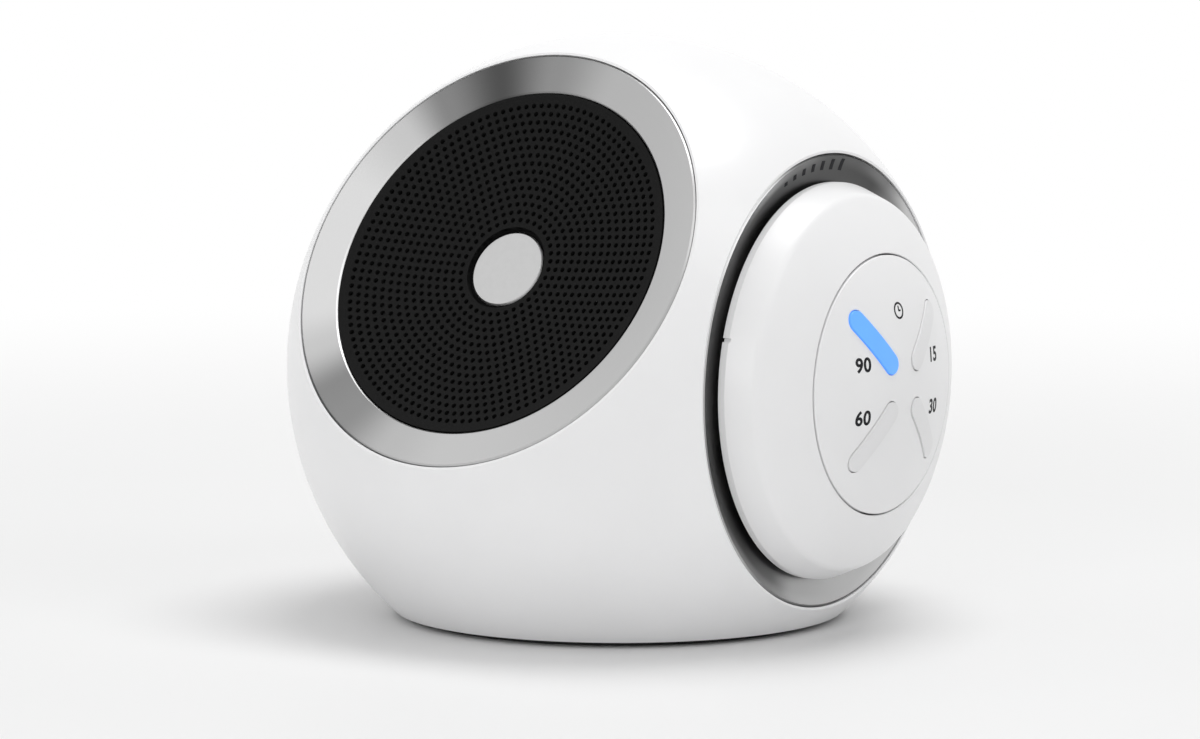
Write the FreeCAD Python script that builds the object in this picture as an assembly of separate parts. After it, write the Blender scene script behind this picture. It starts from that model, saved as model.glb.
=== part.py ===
import FreeCAD, Part
import math
import os

# White noise sound machine: a ball with a flat base, a round speaker face tilted up at the front
# and a large volume dial on its right side with four timer buttons in the middle.
# Millimetres. +Z is up, -Y is the speaker side and +X is the dial side.
# The origin is the middle of the surface that the machine stands on.

# Ball and base. Each flat cut of the ball meets it along a cone of the given half angle
# about the ball centre, so all the faces keep their places on a larger or smaller ball.
BALL_RADIUS = 59.0
WALL = 2.6
SHELL_BOTTOM = 1.0
BASE_HALF_ANGLE = 42.857
BASE_RIM_WIDTH = 1.83
BASE_EDGE_GAP = 0.3
BASE_PLATE_RAISE = 0.5
BASE_PLATE_THICKNESS = 2.5
FOOT_EDGE_WIDTH = 0.9
FOOT_EDGE_GAP = 0.1
FOOT_RECESS_DEPTH = 0.7
FOOT_HOLE_GAP = 0.4
BASE_SCREW_INSET = 7.5
BASE_SCREW_SINK = 0.7
LUG_WIDTH = 9.0
LUG_HEIGHT = 5.5

# Seats that both round faces of the ball share
SEAT_GAP = 0.2
FACE_LIP = 0.44
FLANGE_LEDGE = 1.1
FLANGE_SPHERE_INSET = 1.0

# Speaker face
SPEAKER_TILT = 30.0
FACE_HALF_ANGLE = 42.211
FACE_POCKET_DEPTH = 1.7
FACE_FLANGE_THICKNESS = 2.6
DISH_RADIUS = 184.7
BEZEL_PROUD = 0.14
BEZEL_WIDTH = 6.7
BEZEL_CHAMFER = 0.3
GRILLE_STEP_DEPTH = 0.8
GRILLE_STEP_GAP = 0.25
GRILLE_THICKNESS = 0.8
GRILLE_RIM_WIDTH = 1.0
HOLE_RING_PITCH = 4.5
HOLES_PER_RING_STEP = 6
GRILLE_HOLE_RADIUS = 1.3
CAP_RADIUS = 7.0
CAP_SINK = 0.34
CAP_THICKNESS = 1.0
CAP_CHAMFER = 0.3
CAP_GROOVE = 0.67
CUP_WALL = 0.9

# Loudspeaker driver behind the grille
DRIVER_LAP = 4.4
GASKET_THICKNESS = 1.0
DRIVER_PLATE_THICKNESS = 1.4
ROLL_EDGE_WIDTH = 1.6
ROLL_WIDTH = 5.4
ROLL_LIP = 1.0
ROLL_THICKNESS = 0.5
ROLL_HEIGHT = 1.3
BASKET_DEPTH = 15.0
BASKET_BACK_RADIUS = 17.5
BASKET_WALL = 1.4
BASKET_WINDOW_WIDTH = 13.0
CONE_THICKNESS = 0.7
CONE_NECK_RISE = 5.5
COIL_GAP = 1.0
COIL_THICKNESS = 0.4
COIL_FLOOR_GAP = 1.0
DUST_CAP_HEIGHT = 3.0
MAGNET_EDGE_WIDTH = 1.5
MAGNET_THICKNESS = 9.0
MAGNET_ROUND = 1.0
POLE_RADIUS = 6.6
POLE_DROP = 1.5
POLE_HOLE_GAP = 2.0

# Dial face
DIAL_HALF_ANGLE = 42.355
DIAL_POCKET_DEPTH = 2.0
RING_CHAMFER = 0.3
RING_EDGE_WIDTH = 2.1
RING_EDGE_THICKNESS = 1.2
RING_FOOT_WIDTH = 4.5
RING_FOOT_THICKNESS = 0.75
RING_INNER_THICKNESS = 0.6
RING_INNER_GAP = 0.5

# Volume knob
KNOB_INSET = 4.8
KNOB_RIM_SINK = 0.3
KNOB_RIM_HEIGHT = 1.23
KNOB_RIM_ROUND = 0.35
KNOB_BAND_WIDTH = 2.03
KNOB_BAND_HEIGHT = 4.91
KNOB_CREASE_ROUND = 6.0
KNOB_FACE_WIDTH = 11.8
DOME_INSET = 0.5
KNOB_WALL = 2.0
KNOB_SLEEVE_WALL = 2.3
KNOB_FLANGE_WIDTH = 4.7
KNOB_FLANGE_THICKNESS = 1.3
KNOB_FLANGE_GAP = 0.3
INDEX_ANGLE = 163.5
INDEX_WIDTH = 0.7
INDEX_DEPTH = 0.5
BEARING_CLEARANCE = 0.05

# Volume track and its spring contacts
WIPER_COUNT = 3
WIPER_SPREAD = 30.0
WIPER_HEIGHT = 0.25
WIPER_GAP = 0.15
WIPER_INNER_GAP = 0.7
WIPER_EDGE_WIDTH = 1.0
TRACK_THICKNESS = 1.0
TRACK_INNER_GAP = 0.75
TRACK_OUTER_GAP = 0.4

# Carrier with the fixed timer boss inside the knob
BOSS_WALL = 2.2
BOARD_LEDGE_WIDTH = 2.0
TIMER_BOARD_DROP = 4.0
TIMER_BOARD_THICKNESS = 1.2
TIMER_BOARD_GAP = 0.25
CARRIER_LAP = 4.0
CARRIER_THICKNESS = 2.0
CARRIER_HOLE_RADIUS = 8.0

# Timer disc and its buttons
DISC_SEAM = 0.3
DISC_THICKNESS = 2.0
DISC_SKIRT_HEIGHT = 3.76
DISC_SKIRT_WALL = 1.8
BUTTON_NAMES = ("15", "30", "60", "90")
BUTTON_ANGLES = (45.0, -45.0, -135.0, 135.0)
BUTTON_INNER_REACH = 5.9
BUTTON_END_INSET = 5.4
BUTTON_WIDTH = 3.6
BUTTON_GAP = 0.2
BUTTON_PROUD = 0.25
BUTTON_TRAVEL = 0.7
BUTTON_LIP = 0.9
BUTTON_LIP_THICKNESS = 0.8
BUTTON_LIP_GAP = 0.1
BUTTON_STEM_RADIUS = 1.3
STEM_FLOOR_GAP = 0.6
SWITCH_SIDE = 6.0
SWITCH_HEIGHT = 3.2
SWITCH_WELL_GAP = 0.3
SWITCH_WELL_DEPTH = 1.8
LIGHT_SIDE = 1.6
LIGHT_HEIGHT = 1.0
LIGHT_OFFSET = 0.2

# Rear cover and power inlet
REAR_HALF_ANGLE = 41.3775
REAR_EDGE_GAP = 0.3
REAR_FLANGE_INSET = 7.0
REAR_FLANGE_LAP = 2.0
REAR_FLANGE_THICKNESS = 2.4
REAR_SCREW_INSET = 3.8
REAR_SCREW_SINK = 3.95
REAR_SEAT_THICKNESS = 1.4
REAR_BOSS_RADIUS = 4.0
REAR_BOSS_HEIGHT = 6.0
INLET_INSET = 15.0
INLET_RECESS_RADIUS = 6.5
INLET_RECESS_SINK = 4.4
INLET_PAD_WALL = 2.0
INLET_NOSE_RADIUS = 4.2
INLET_NOSE_GAP = 0.15
INLET_NOSE_HEIGHT = 0.5
INLET_BORE_RADIUS = 2.9
INLET_BORE_DEPTH = 9.0
INLET_PIN_RADIUS = 1.0
INLET_PIN_SINK = 1.5
INLET_BODY_WIDTH = 10.0
INLET_BODY_HEIGHT = 11.0
INLET_BODY_DEPTH = 10.0

# Main circuit board on the base plate
BOARD_LUG_GAP = 3.0
BOARD_SIDE_DIFFERENCE = 8.0
BOARD_THICKNESS = 1.6
BOARD_HOLE_INSET = 3.5
POST_RADIUS = 2.8
POST_HEIGHT = 5.0
PART_INSET = 1.0
CHIP_SIDE = 9.0
CHIP_HEIGHT = 1.6
CAPACITOR_RADIUS = 3.2
CAPACITOR_HEIGHT = 9.0
CAPACITOR_PITCH = 7.2
SINK_LENGTH = 16.0
SINK_FIN_THICKNESS = 1.2
SINK_FIN_PITCH = 2.8
SINK_FIN_COUNT = 4
SINK_HEIGHT = 8.0
SINK_BASE_HEIGHT = 1.5

# Screws
SCREW_RADIUS = 1.1
SCREW_HEAD_RADIUS = 2.2
SCREW_HEAD_HEIGHT = 1.3
SCREW_HEAD_ROUND = 0.43
SCREW_HOLE_GAP = 0.15
SCREW_HOLE_END = 1.0
SCREW_TIP_GAP = 1.0
HEAD_WELL_GAP = 0.4
SCREW_CROSS_REACH = 1.54
SCREW_CROSS_WIDTH = 0.6
SCREW_CROSS_DEPTH = 0.6

# Turns of the screws about their axes
SQUARE_TURNS = (0.0, 90.0, 180.0, 270.0)
QUARTER_TURNS = (45.0, 135.0, 225.0, 315.0)
SHIFTED_TURNS = (15.0, 105.0, 195.0, 285.0)
AXIS = FreeCAD.Vector(0, 0, 1)
MIDDLE = FreeCAD.Vector(0, 0, 0)
TOLERANCE = 1e-4
MARGIN = 1.0
FAR = 2 * BALL_RADIUS


def cut_plane(half_angle):
    return BALL_RADIUS * math.cos(math.radians(half_angle))


def cut_radius(half_angle):
    return BALL_RADIUS * math.sin(math.radians(half_angle))


def arc_height(radius, centre, reach):
    return centre + math.sqrt(radius * radius - reach * reach)


def dish_sag(reach):
    return DISH_RADIUS - math.sqrt(DISH_RADIUS ** 2 - reach ** 2)


# Ball and base, from the surface that the machine stands on
INNER_RADIUS = BALL_RADIUS - WALL
BALL_CENTRE_HEIGHT = SHELL_BOTTOM + cut_plane(BASE_HALF_ANGLE)
BALL_CENTRE = FreeCAD.Vector(0, 0, BALL_CENTRE_HEIGHT)
BASE_OPENING_RADIUS = cut_radius(BASE_HALF_ANGLE) - BASE_RIM_WIDTH
BASE_PLATE_RADIUS = BASE_OPENING_RADIUS - BASE_EDGE_GAP
BASE_PLATE_BOTTOM = SHELL_BOTTOM - BASE_PLATE_RAISE
BASE_PLATE_TOP = BASE_PLATE_BOTTOM + BASE_PLATE_THICKNESS
FOOT_TOP = BASE_PLATE_BOTTOM + FOOT_RECESS_DEPTH
FOOT_RECESS_RADIUS = BASE_PLATE_RADIUS - FOOT_EDGE_WIDTH
FOOT_RADIUS = FOOT_RECESS_RADIUS - FOOT_EDGE_GAP
BASE_SCREW_CIRCLE = FOOT_RADIUS - BASE_SCREW_INSET
BASE_SCREW_SEAT = FOOT_TOP + BASE_SCREW_SINK
LUG_TOP = BASE_PLATE_TOP + LUG_HEIGHT
BOARD_PLANE = BASE_PLATE_TOP + POST_HEIGHT
BOARD_LENGTH = 2 * (BASE_SCREW_CIRCLE - LUG_WIDTH / 2 - BOARD_LUG_GAP)
BOARD_WIDTH = BOARD_LENGTH - BOARD_SIDE_DIFFERENCE

# Speaker face, outward from the ball centre
FACE_PLANE = cut_plane(FACE_HALF_ANGLE)
FACE_POCKET_RADIUS = cut_radius(FACE_HALF_ANGLE) - FACE_LIP
FACE_FLOOR = FACE_PLANE - FACE_POCKET_DEPTH
FACE_FLANGE_BACK = FACE_FLOOR - FACE_FLANGE_THICKNESS
BEZEL_RADIUS = FACE_POCKET_RADIUS - SEAT_GAP
BEZEL_INNER_RADIUS = BEZEL_RADIUS - BEZEL_WIDTH
DISH_BOTTOM = FACE_PLANE + BEZEL_PROUD - dish_sag(BEZEL_RADIUS - BEZEL_CHAMFER)
GRILLE_RADIUS = BEZEL_INNER_RADIUS - SEAT_GAP
GRILLE_STEP = FACE_FLOOR - GRILLE_STEP_DEPTH
GRILLE_STEP_RADIUS = GRILLE_RADIUS + GRILLE_STEP_GAP
CAP_TOP = DISH_BOTTOM - CAP_SINK
FLANGE_BORE_RADIUS = GRILLE_RADIUS - FLANGE_LEDGE
DRIVER_RADIUS = FLANGE_BORE_RADIUS + DRIVER_LAP
DRIVER_SCREW_CIRCLE = (FLANGE_BORE_RADIUS + DRIVER_RADIUS) / 2
GASKET_BACK = FACE_FLANGE_BACK - GASKET_THICKNESS
DRIVER_PLATE_BACK = GASKET_BACK - DRIVER_PLATE_THICKNESS
ROLL_OUTER_RADIUS = FLANGE_BORE_RADIUS - ROLL_EDGE_WIDTH
ROLL_INNER_RADIUS = ROLL_OUTER_RADIUS - ROLL_WIDTH
BASKET_BACK = DRIVER_PLATE_BACK - BASKET_DEPTH
CONE_NECK_PLANE = BASKET_BACK + CONE_NECK_RISE
CONE_BORE_RADIUS = POLE_RADIUS + COIL_GAP
CONE_NECK_RADIUS = CONE_BORE_RADIUS + COIL_THICKNESS
MAGNET_RADIUS = BASKET_BACK_RADIUS - MAGNET_EDGE_WIDTH
POLE_TOP = CONE_NECK_PLANE - POLE_DROP

# Dial face, outward from the ball centre
DIAL_PLANE = cut_plane(DIAL_HALF_ANGLE)
DIAL_POCKET_RADIUS = cut_radius(DIAL_HALF_ANGLE) - FACE_LIP
DIAL_FLOOR = DIAL_PLANE - DIAL_POCKET_DEPTH
RING_RADIUS = DIAL_POCKET_RADIUS - SEAT_GAP
KNOB_RIM_RADIUS = RING_RADIUS - KNOB_INSET
KNOB_RIM_BACK = DIAL_PLANE - KNOB_RIM_SINK
KNOB_RIM_TOP = KNOB_RIM_BACK + KNOB_RIM_HEIGHT
KNOB_CREASE_RADIUS = KNOB_RIM_RADIUS - KNOB_BAND_WIDTH
KNOB_CREASE_TOP = KNOB_RIM_TOP + KNOB_BAND_HEIGHT
DOME_RADIUS = BALL_RADIUS - DOME_INSET
DOME_CENTRE = KNOB_CREASE_TOP - arc_height(DOME_RADIUS, 0, KNOB_CREASE_RADIUS)
SLEEVE_BORE = KNOB_RIM_RADIUS - KNOB_FACE_WIDTH
SLEEVE_RADIUS = SLEEVE_BORE + KNOB_SLEEVE_WALL
KNOB_FLANGE_RADIUS = SLEEVE_RADIUS + KNOB_FLANGE_WIDTH
KNOB_FLANGE_TOP = DIAL_FLOOR - KNOB_FLANGE_GAP
KNOB_FLANGE_BACK = KNOB_FLANGE_TOP - KNOB_FLANGE_THICKNESS
RING_INNER_RADIUS = SLEEVE_RADIUS + RING_INNER_GAP
WIPER_BACK = KNOB_FLANGE_BACK - WIPER_HEIGHT
WIPER_INNER_RADIUS = SLEEVE_RADIUS + WIPER_INNER_GAP
WIPER_OUTER_RADIUS = KNOB_FLANGE_RADIUS - WIPER_EDGE_WIDTH
TRACK_TOP = WIPER_BACK - WIPER_GAP
DIAL_FLANGE_BACK = TRACK_TOP - TRACK_THICKNESS
BOSS_RADIUS = SLEEVE_BORE - BEARING_CLEARANCE
BOSS_BORE = BOSS_RADIUS - BOSS_WALL
TRACK_INNER_RADIUS = BOSS_RADIUS + TRACK_INNER_GAP
TRACK_OUTER_RADIUS = FLANGE_BORE_RADIUS - TRACK_OUTER_GAP
CARRIER_BACK = DIAL_FLANGE_BACK - CARRIER_THICKNESS
CARRIER_RADIUS = FLANGE_BORE_RADIUS + CARRIER_LAP
CARRIER_SCREW_CIRCLE = (FLANGE_BORE_RADIUS + CARRIER_RADIUS) / 2

# Timer disc and what it covers, outward from the ball centre
DISC_RADIUS = SLEEVE_BORE - DISC_SEAM
BOSS_TOP = arc_height(DOME_RADIUS, DOME_CENTRE, DISC_RADIUS) - DISC_SKIRT_HEIGHT
TIMER_BOARD_PLANE = BOSS_TOP - TIMER_BOARD_DROP
BUTTON_OUTER_REACH = DISC_RADIUS - BUTTON_END_INSET
BUTTON_MIDDLE = (BUTTON_INNER_REACH + BUTTON_OUTER_REACH) / 2
SWITCH_FLOOR = TIMER_BOARD_PLANE + TIMER_BOARD_THICKNESS
SWITCH_TOP = SWITCH_FLOOR + SWITCH_HEIGHT
SWITCH_WELL_FLOOR = SWITCH_TOP - SWITCH_WELL_DEPTH
BUTTON_STEM_TIP = SWITCH_WELL_FLOOR + STEM_FLOOR_GAP + BUTTON_TRAVEL
LIGHT_REACH = BUTTON_OUTER_REACH + LIGHT_OFFSET

# Rear cover and power inlet, outward from the ball centre
REAR_OPENING_RADIUS = cut_radius(REAR_HALF_ANGLE)
REAR_COVER_RADIUS = REAR_OPENING_RADIUS - REAR_EDGE_GAP
REAR_FLANGE_INNER_RADIUS = REAR_OPENING_RADIUS - REAR_FLANGE_INSET
REAR_FLANGE_OUTER_RADIUS = REAR_OPENING_RADIUS + REAR_FLANGE_LAP
REAR_SCREW_CIRCLE = REAR_OPENING_RADIUS - REAR_SCREW_INSET
REAR_SCREW_SEAT = arc_height(BALL_RADIUS, 0, REAR_SCREW_CIRCLE) - REAR_SCREW_SINK
REAR_BOSS_TOP = REAR_SCREW_SEAT - REAR_SEAT_THICKNESS
REAR_BOSS_BACK = REAR_BOSS_TOP - REAR_BOSS_HEIGHT
INLET_DROP = REAR_OPENING_RADIUS - INLET_INSET
INLET_RECESS_FLOOR = arc_height(BALL_RADIUS, 0, INLET_DROP) - INLET_RECESS_SINK
INLET_PAD_RADIUS = INLET_RECESS_RADIUS + INLET_PAD_WALL
INLET_PAD_BACK = INLET_RECESS_FLOOR - INLET_PAD_WALL
INLET_NOSE_TOP = INLET_RECESS_FLOOR + INLET_NOSE_HEIGHT
INLET_BORE_FLOOR = INLET_NOSE_TOP - INLET_BORE_DEPTH
INLET_PIN_TOP = INLET_NOSE_TOP - INLET_PIN_SINK
INLET_BODY_BACK = INLET_PAD_BACK - INLET_BODY_DEPTH


def cylinder(radius, low, high, x=0.0, y=0.0):
    return Part.makeCylinder(radius, high - low, FreeCAD.Vector(x, y, low), AXIS)


def tube(outer, inner, low, high):
    return cylinder(outer, low, high).cut(cylinder(inner, low - MARGIN, high + MARGIN))


def box(width, depth, low, high, x=0.0, y=0.0):
    corner = FreeCAD.Vector(x - width / 2, y - depth / 2, low)
    return Part.makeBox(width, depth, high - low, corner)


def ball(radius, height=0.0):
    return Part.makeSphere(radius, FreeCAD.Vector(0, 0, height))


def on_circle(radius, degrees):
    turn = math.radians(degrees)
    return radius * math.cos(turn), radius * math.sin(turn)


# A closed half section turned about the axis. Each step is a point (radius, height),
# or a pair of points for an arc that passes through the first and ends at the second.
def turned(steps):
    edges = []
    start = steps[0]
    last = FreeCAD.Vector(start[0], 0, start[1])
    first = last
    for step in steps[1:] + [start]:
        if isinstance(step[0], tuple):
            middle = FreeCAD.Vector(step[0][0], 0, step[0][1])
            end = FreeCAD.Vector(step[1][0], 0, step[1][1])
            edges.append(Part.Arc(last, middle, end).toShape())
        else:
            end = FreeCAD.Vector(step[0], 0, step[1])
            edges.append(Part.makeLine(last, end))
        last = end
    assert last.isEqual(first, TOLERANCE)
    return Part.Face(Part.Wire(edges)).revolve(MIDDLE, AXIS, 360)


def facing_speaker(shape):
    placed = shape.copy()
    placed.rotate(MIDDLE, FreeCAD.Vector(1, 0, 0), 90 - SPEAKER_TILT)
    placed.translate(BALL_CENTRE)
    return placed


def facing_dial(shape):
    placed = shape.copy()
    placed.rotate(MIDDLE, AXIS, 90)
    placed.rotate(MIDDLE, FreeCAD.Vector(0, 1, 0), 90)
    placed.translate(BALL_CENTRE)
    return placed


def facing_rear(shape):
    placed = shape.copy()
    placed.rotate(MIDDLE, AXIS, 180)
    placed.rotate(MIDDLE, FreeCAD.Vector(1, 0, 0), -90)
    placed.translate(BALL_CENTRE)
    return placed


# A pan-head screw along the axis, its head resting on the plane and its shank going down
def screw(seat, length):
    head = cylinder(SCREW_HEAD_RADIUS, seat, seat + SCREW_HEAD_HEIGHT)
    head = head.makeFillet(SCREW_HEAD_ROUND, [head.Edges[0]])
    shank = cylinder(SCREW_RADIUS, seat - length, seat)
    low = seat + SCREW_HEAD_HEIGHT - SCREW_CROSS_DEPTH
    high = seat + SCREW_HEAD_HEIGHT + MARGIN
    slot = box(FAR, SCREW_CROSS_WIDTH, low, high)
    slot = slot.common(cylinder(SCREW_CROSS_REACH, low, high))
    crossed = slot.copy()
    crossed.rotate(MIDDLE, AXIS, 90)
    return head.fuse(shank).cut(slot.fuse(crossed))


def screw_set(seat, length, circle, turns, upside_down=False):
    pieces = []
    for turn in turns:
        x, y = on_circle(circle, turn)
        piece = screw(0, length)
        if upside_down:
            piece.rotate(MIDDLE, FreeCAD.Vector(1, 0, 0), 180)
        piece.translate(FreeCAD.Vector(x, y, seat))
        pieces.append(piece)
    return Part.makeCompound(pieces)


def drilled(shape, radius, low, high, circle, turns):
    holes = []
    for turn in turns:
        x, y = on_circle(circle, turn)
        holes.append(cylinder(radius, low, high, x, y))
    return shape.cut(Part.makeCompound(holes))


# Inward flange that carries the parts of one round face
def face_flange(back, floor):
    flange = cylinder(FAR, back, floor)
    flange = flange.common(ball(BALL_RADIUS - FLANGE_SPHERE_INSET))
    return flange.cut(cylinder(FLANGE_BORE_RADIUS, back - MARGIN, floor + MARGIN))


def face_pocket(plane, radius, floor):
    beyond = cylinder(FAR, plane, FAR)
    return beyond.fuse(cylinder(radius, floor, plane + MARGIN))


def base_lugs():
    length = INNER_RADIUS - BASE_SCREW_CIRCLE + LUG_WIDTH / 2
    inner = BASE_SCREW_CIRCLE - LUG_WIDTH / 2
    lugs = []
    for turn in SQUARE_TURNS:
        corner = FreeCAD.Vector(inner, -LUG_WIDTH / 2, BASE_PLATE_TOP)
        lug = Part.makeBox(length, LUG_WIDTH, LUG_TOP - BASE_PLATE_TOP, corner)
        lug.rotate(MIDDLE, AXIS, turn)
        lugs.append(lug)
    solid = lugs[0].multiFuse(lugs[1:])
    limit = ball(BALL_RADIUS - FLANGE_SPHERE_INSET, BALL_CENTRE_HEIGHT)
    solid = solid.common(limit)
    high = LUG_TOP - SCREW_HOLE_END
    return drilled(solid, SCREW_RADIUS, 0, high, BASE_SCREW_CIRCLE, SQUARE_TURNS)


def rear_flange():
    outer = ball(INNER_RADIUS)
    inner = ball(INNER_RADIUS - REAR_FLANGE_THICKNESS)
    band = tube(REAR_FLANGE_OUTER_RADIUS, REAR_FLANGE_INNER_RADIUS, 0, FAR)
    flange = outer.cut(inner).common(band)
    pocket = REAR_BOSS_RADIUS + SEAT_GAP
    flange = drilled(flange, pocket, REAR_BOSS_TOP, FAR, REAR_SCREW_CIRCLE, QUARTER_TURNS)
    bosses = Part.makeCompound(rear_bosses(REAR_BOSS_BACK, REAR_BOSS_TOP))
    flange = flange.fuse(bosses.common(outer))
    low = REAR_BOSS_BACK + SCREW_HOLE_END
    return drilled(flange, SCREW_RADIUS, low, FAR, REAR_SCREW_CIRCLE, QUARTER_TURNS)


def rear_bosses(low, high):
    bosses = []
    for turn in QUARTER_TURNS:
        x, y = on_circle(REAR_SCREW_CIRCLE, turn)
        bosses.append(cylinder(REAR_BOSS_RADIUS, low, high, x, y))
    return bosses


def body_shell():
    outer = ball(BALL_RADIUS, BALL_CENTRE_HEIGHT)
    shell = outer.cut(ball(INNER_RADIUS, BALL_CENTRE_HEIGHT))
    speaker_flange = face_flange(FACE_FLANGE_BACK, FACE_FLOOR)
    step = cylinder(GRILLE_STEP_RADIUS, GRILLE_STEP, FACE_FLOOR + MARGIN)
    speaker_flange = speaker_flange.cut(step)
    high = FACE_FLOOR - SCREW_HOLE_END
    speaker_flange = drilled(speaker_flange, SCREW_RADIUS, 0, high, DRIVER_SCREW_CIRCLE, QUARTER_TURNS)
    dial_flange = face_flange(DIAL_FLANGE_BACK, DIAL_FLOOR)
    high = DIAL_FLOOR - SCREW_HOLE_END
    dial_flange = drilled(dial_flange, SCREW_RADIUS, 0, high, CARRIER_SCREW_CIRCLE, SHIFTED_TURNS)
    shell = shell.multiFuse([
        facing_speaker(speaker_flange),
        facing_dial(dial_flange),
        base_lugs(),
    ])
    shell = shell.cut(facing_rear(cylinder(REAR_OPENING_RADIUS, 0, FAR).cut(ball(INNER_RADIUS))))
    shell = shell.fuse(facing_rear(rear_flange()))
    shell = shell.cut(facing_speaker(face_pocket(FACE_PLANE, FACE_POCKET_RADIUS, FACE_FLOOR)))
    shell = shell.cut(facing_dial(face_pocket(DIAL_PLANE, DIAL_POCKET_RADIUS, DIAL_FLOOR)))
    shell = shell.cut(cylinder(FAR, -FAR, SHELL_BOTTOM))
    return shell.cut(cylinder(BASE_OPENING_RADIUS, -MARGIN, BASE_PLATE_TOP))


def base_plate():
    plate = cylinder(BASE_PLATE_RADIUS, BASE_PLATE_BOTTOM, BASE_PLATE_TOP)
    plate = plate.cut(cylinder(FOOT_RECESS_RADIUS, 0, FOOT_TOP))
    posts = []
    for x, y in board_corners():
        post = cylinder(POST_RADIUS, BASE_PLATE_TOP, BOARD_PLANE, x, y)
        post = post.cut(cylinder(SCREW_RADIUS, BASE_PLATE_TOP, FAR, x, y))
        posts.append(post)
    head_well = SCREW_HEAD_RADIUS + HEAD_WELL_GAP
    plate = drilled(plate, head_well, 0, BASE_SCREW_SEAT, BASE_SCREW_CIRCLE, SQUARE_TURNS)
    shank_hole = SCREW_RADIUS + SCREW_HOLE_GAP
    plate = drilled(plate, shank_hole, 0, FAR, BASE_SCREW_CIRCLE, SQUARE_TURNS)
    return plate.multiFuse(posts)


# Soft disc that fills the recess of the base plate, with a hole over each screw
def base_foot():
    foot = cylinder(FOOT_RADIUS, 0, FOOT_TOP)
    hole = SCREW_HEAD_RADIUS + HEAD_WELL_GAP + FOOT_HOLE_GAP
    return drilled(foot, hole, -MARGIN, FAR, BASE_SCREW_CIRCLE, SQUARE_TURNS)


def base_screws():
    length = LUG_TOP - SCREW_HOLE_END - SCREW_TIP_GAP - BASE_SCREW_SEAT
    return screw_set(BASE_SCREW_SEAT, length, BASE_SCREW_CIRCLE, SQUARE_TURNS, True)


def board_corners():
    x = BOARD_LENGTH / 2 - BOARD_HOLE_INSET
    y = BOARD_WIDTH / 2 - BOARD_HOLE_INSET
    return ((x, y), (-x, y), (-x, -y), (x, -y))


def main_board():
    board = box(BOARD_LENGTH, BOARD_WIDTH, BOARD_PLANE, BOARD_PLANE + BOARD_THICKNESS)
    for x, y in board_corners():
        board = board.cut(cylinder(SCREW_RADIUS + SCREW_HOLE_GAP, 0, FAR, x, y))
    return board


def main_board_screws():
    seat = BOARD_PLANE + BOARD_THICKNESS
    pieces = []
    for x, y in board_corners():
        piece = screw(seat, seat - BASE_PLATE_TOP - SCREW_TIP_GAP)
        piece.translate(FreeCAD.Vector(x, y, 0))
        pieces.append(piece)
    return Part.makeCompound(pieces)


# Evenly spaced places on both sides of the middle
def spread(count, pitch):
    return [(index - (count - 1) / 2) * pitch for index in range(count)]


def main_board_parts():
    floor = BOARD_PLANE + BOARD_THICKNESS
    chip = box(CHIP_SIDE, CHIP_SIDE, floor, floor + CHIP_HEIGHT, -BOARD_WIDTH / 4, 0)
    pieces = [chip]
    x = BOARD_LENGTH / 2 - CAPACITOR_RADIUS - PART_INSET
    screw_reach = BOARD_HOLE_INSET + SCREW_HEAD_RADIUS
    row = BOARD_WIDTH - 2 * (screw_reach + PART_INSET + CAPACITOR_RADIUS)
    for offset in spread(math.floor(row / CAPACITOR_PITCH) + 1, CAPACITOR_PITCH):
        pieces.append(cylinder(CAPACITOR_RADIUS, floor, floor + CAPACITOR_HEIGHT, x, offset))
    depth = SINK_FIN_PITCH * (SINK_FIN_COUNT - 1) + SINK_FIN_THICKNESS
    y = BOARD_WIDTH / 2 - depth / 2 - PART_INSET
    sink = box(SINK_LENGTH, depth, floor, floor + SINK_BASE_HEIGHT, 0, y)
    fins = []
    for offset in spread(SINK_FIN_COUNT, SINK_FIN_PITCH):
        fins.append(box(SINK_LENGTH, SINK_FIN_THICKNESS, floor, floor + SINK_HEIGHT, 0, y + offset))
    pieces.append(sink.multiFuse(fins).removeSplitter())
    return Part.makeCompound(pieces)


def dish_height(reach):
    return DISH_BOTTOM + dish_sag(reach)


def bezel():
    middle = (BEZEL_INNER_RADIUS + BEZEL_RADIUS) / 2
    edge = BEZEL_RADIUS - BEZEL_CHAMFER
    return turned([
        (BEZEL_INNER_RADIUS, FACE_FLOOR),
        (BEZEL_RADIUS, FACE_FLOOR),
        (BEZEL_RADIUS, dish_height(edge) - BEZEL_CHAMFER),
        (edge, dish_height(edge)),
        ((middle, dish_height(middle)), (BEZEL_INNER_RADIUS, dish_height(BEZEL_INNER_RADIUS))),
    ])


def grille_plate():
    cup_radius = CAP_RADIUS + CAP_GROOVE
    cup_floor = CAP_TOP - CAP_THICKNESS
    cup_outer = cup_radius + CUP_WALL
    rim_inner = GRILLE_RADIUS - GRILLE_RIM_WIDTH
    middle = (cup_outer + rim_inner) / 2
    return turned([
        (0, cup_floor - GRILLE_THICKNESS),
        (cup_outer, cup_floor - GRILLE_THICKNESS),
        (cup_outer, dish_height(cup_outer) - GRILLE_THICKNESS),
        ((middle, dish_height(middle) - GRILLE_THICKNESS),
         (rim_inner, dish_height(rim_inner) - GRILLE_THICKNESS)),
        (rim_inner, GRILLE_STEP),
        (GRILLE_RADIUS, GRILLE_STEP),
        (GRILLE_RADIUS, dish_height(GRILLE_RADIUS)),
        ((middle, dish_height(middle)), (cup_radius, dish_height(cup_radius))),
        (cup_radius, cup_floor),
        (0, cup_floor),
    ])


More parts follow.
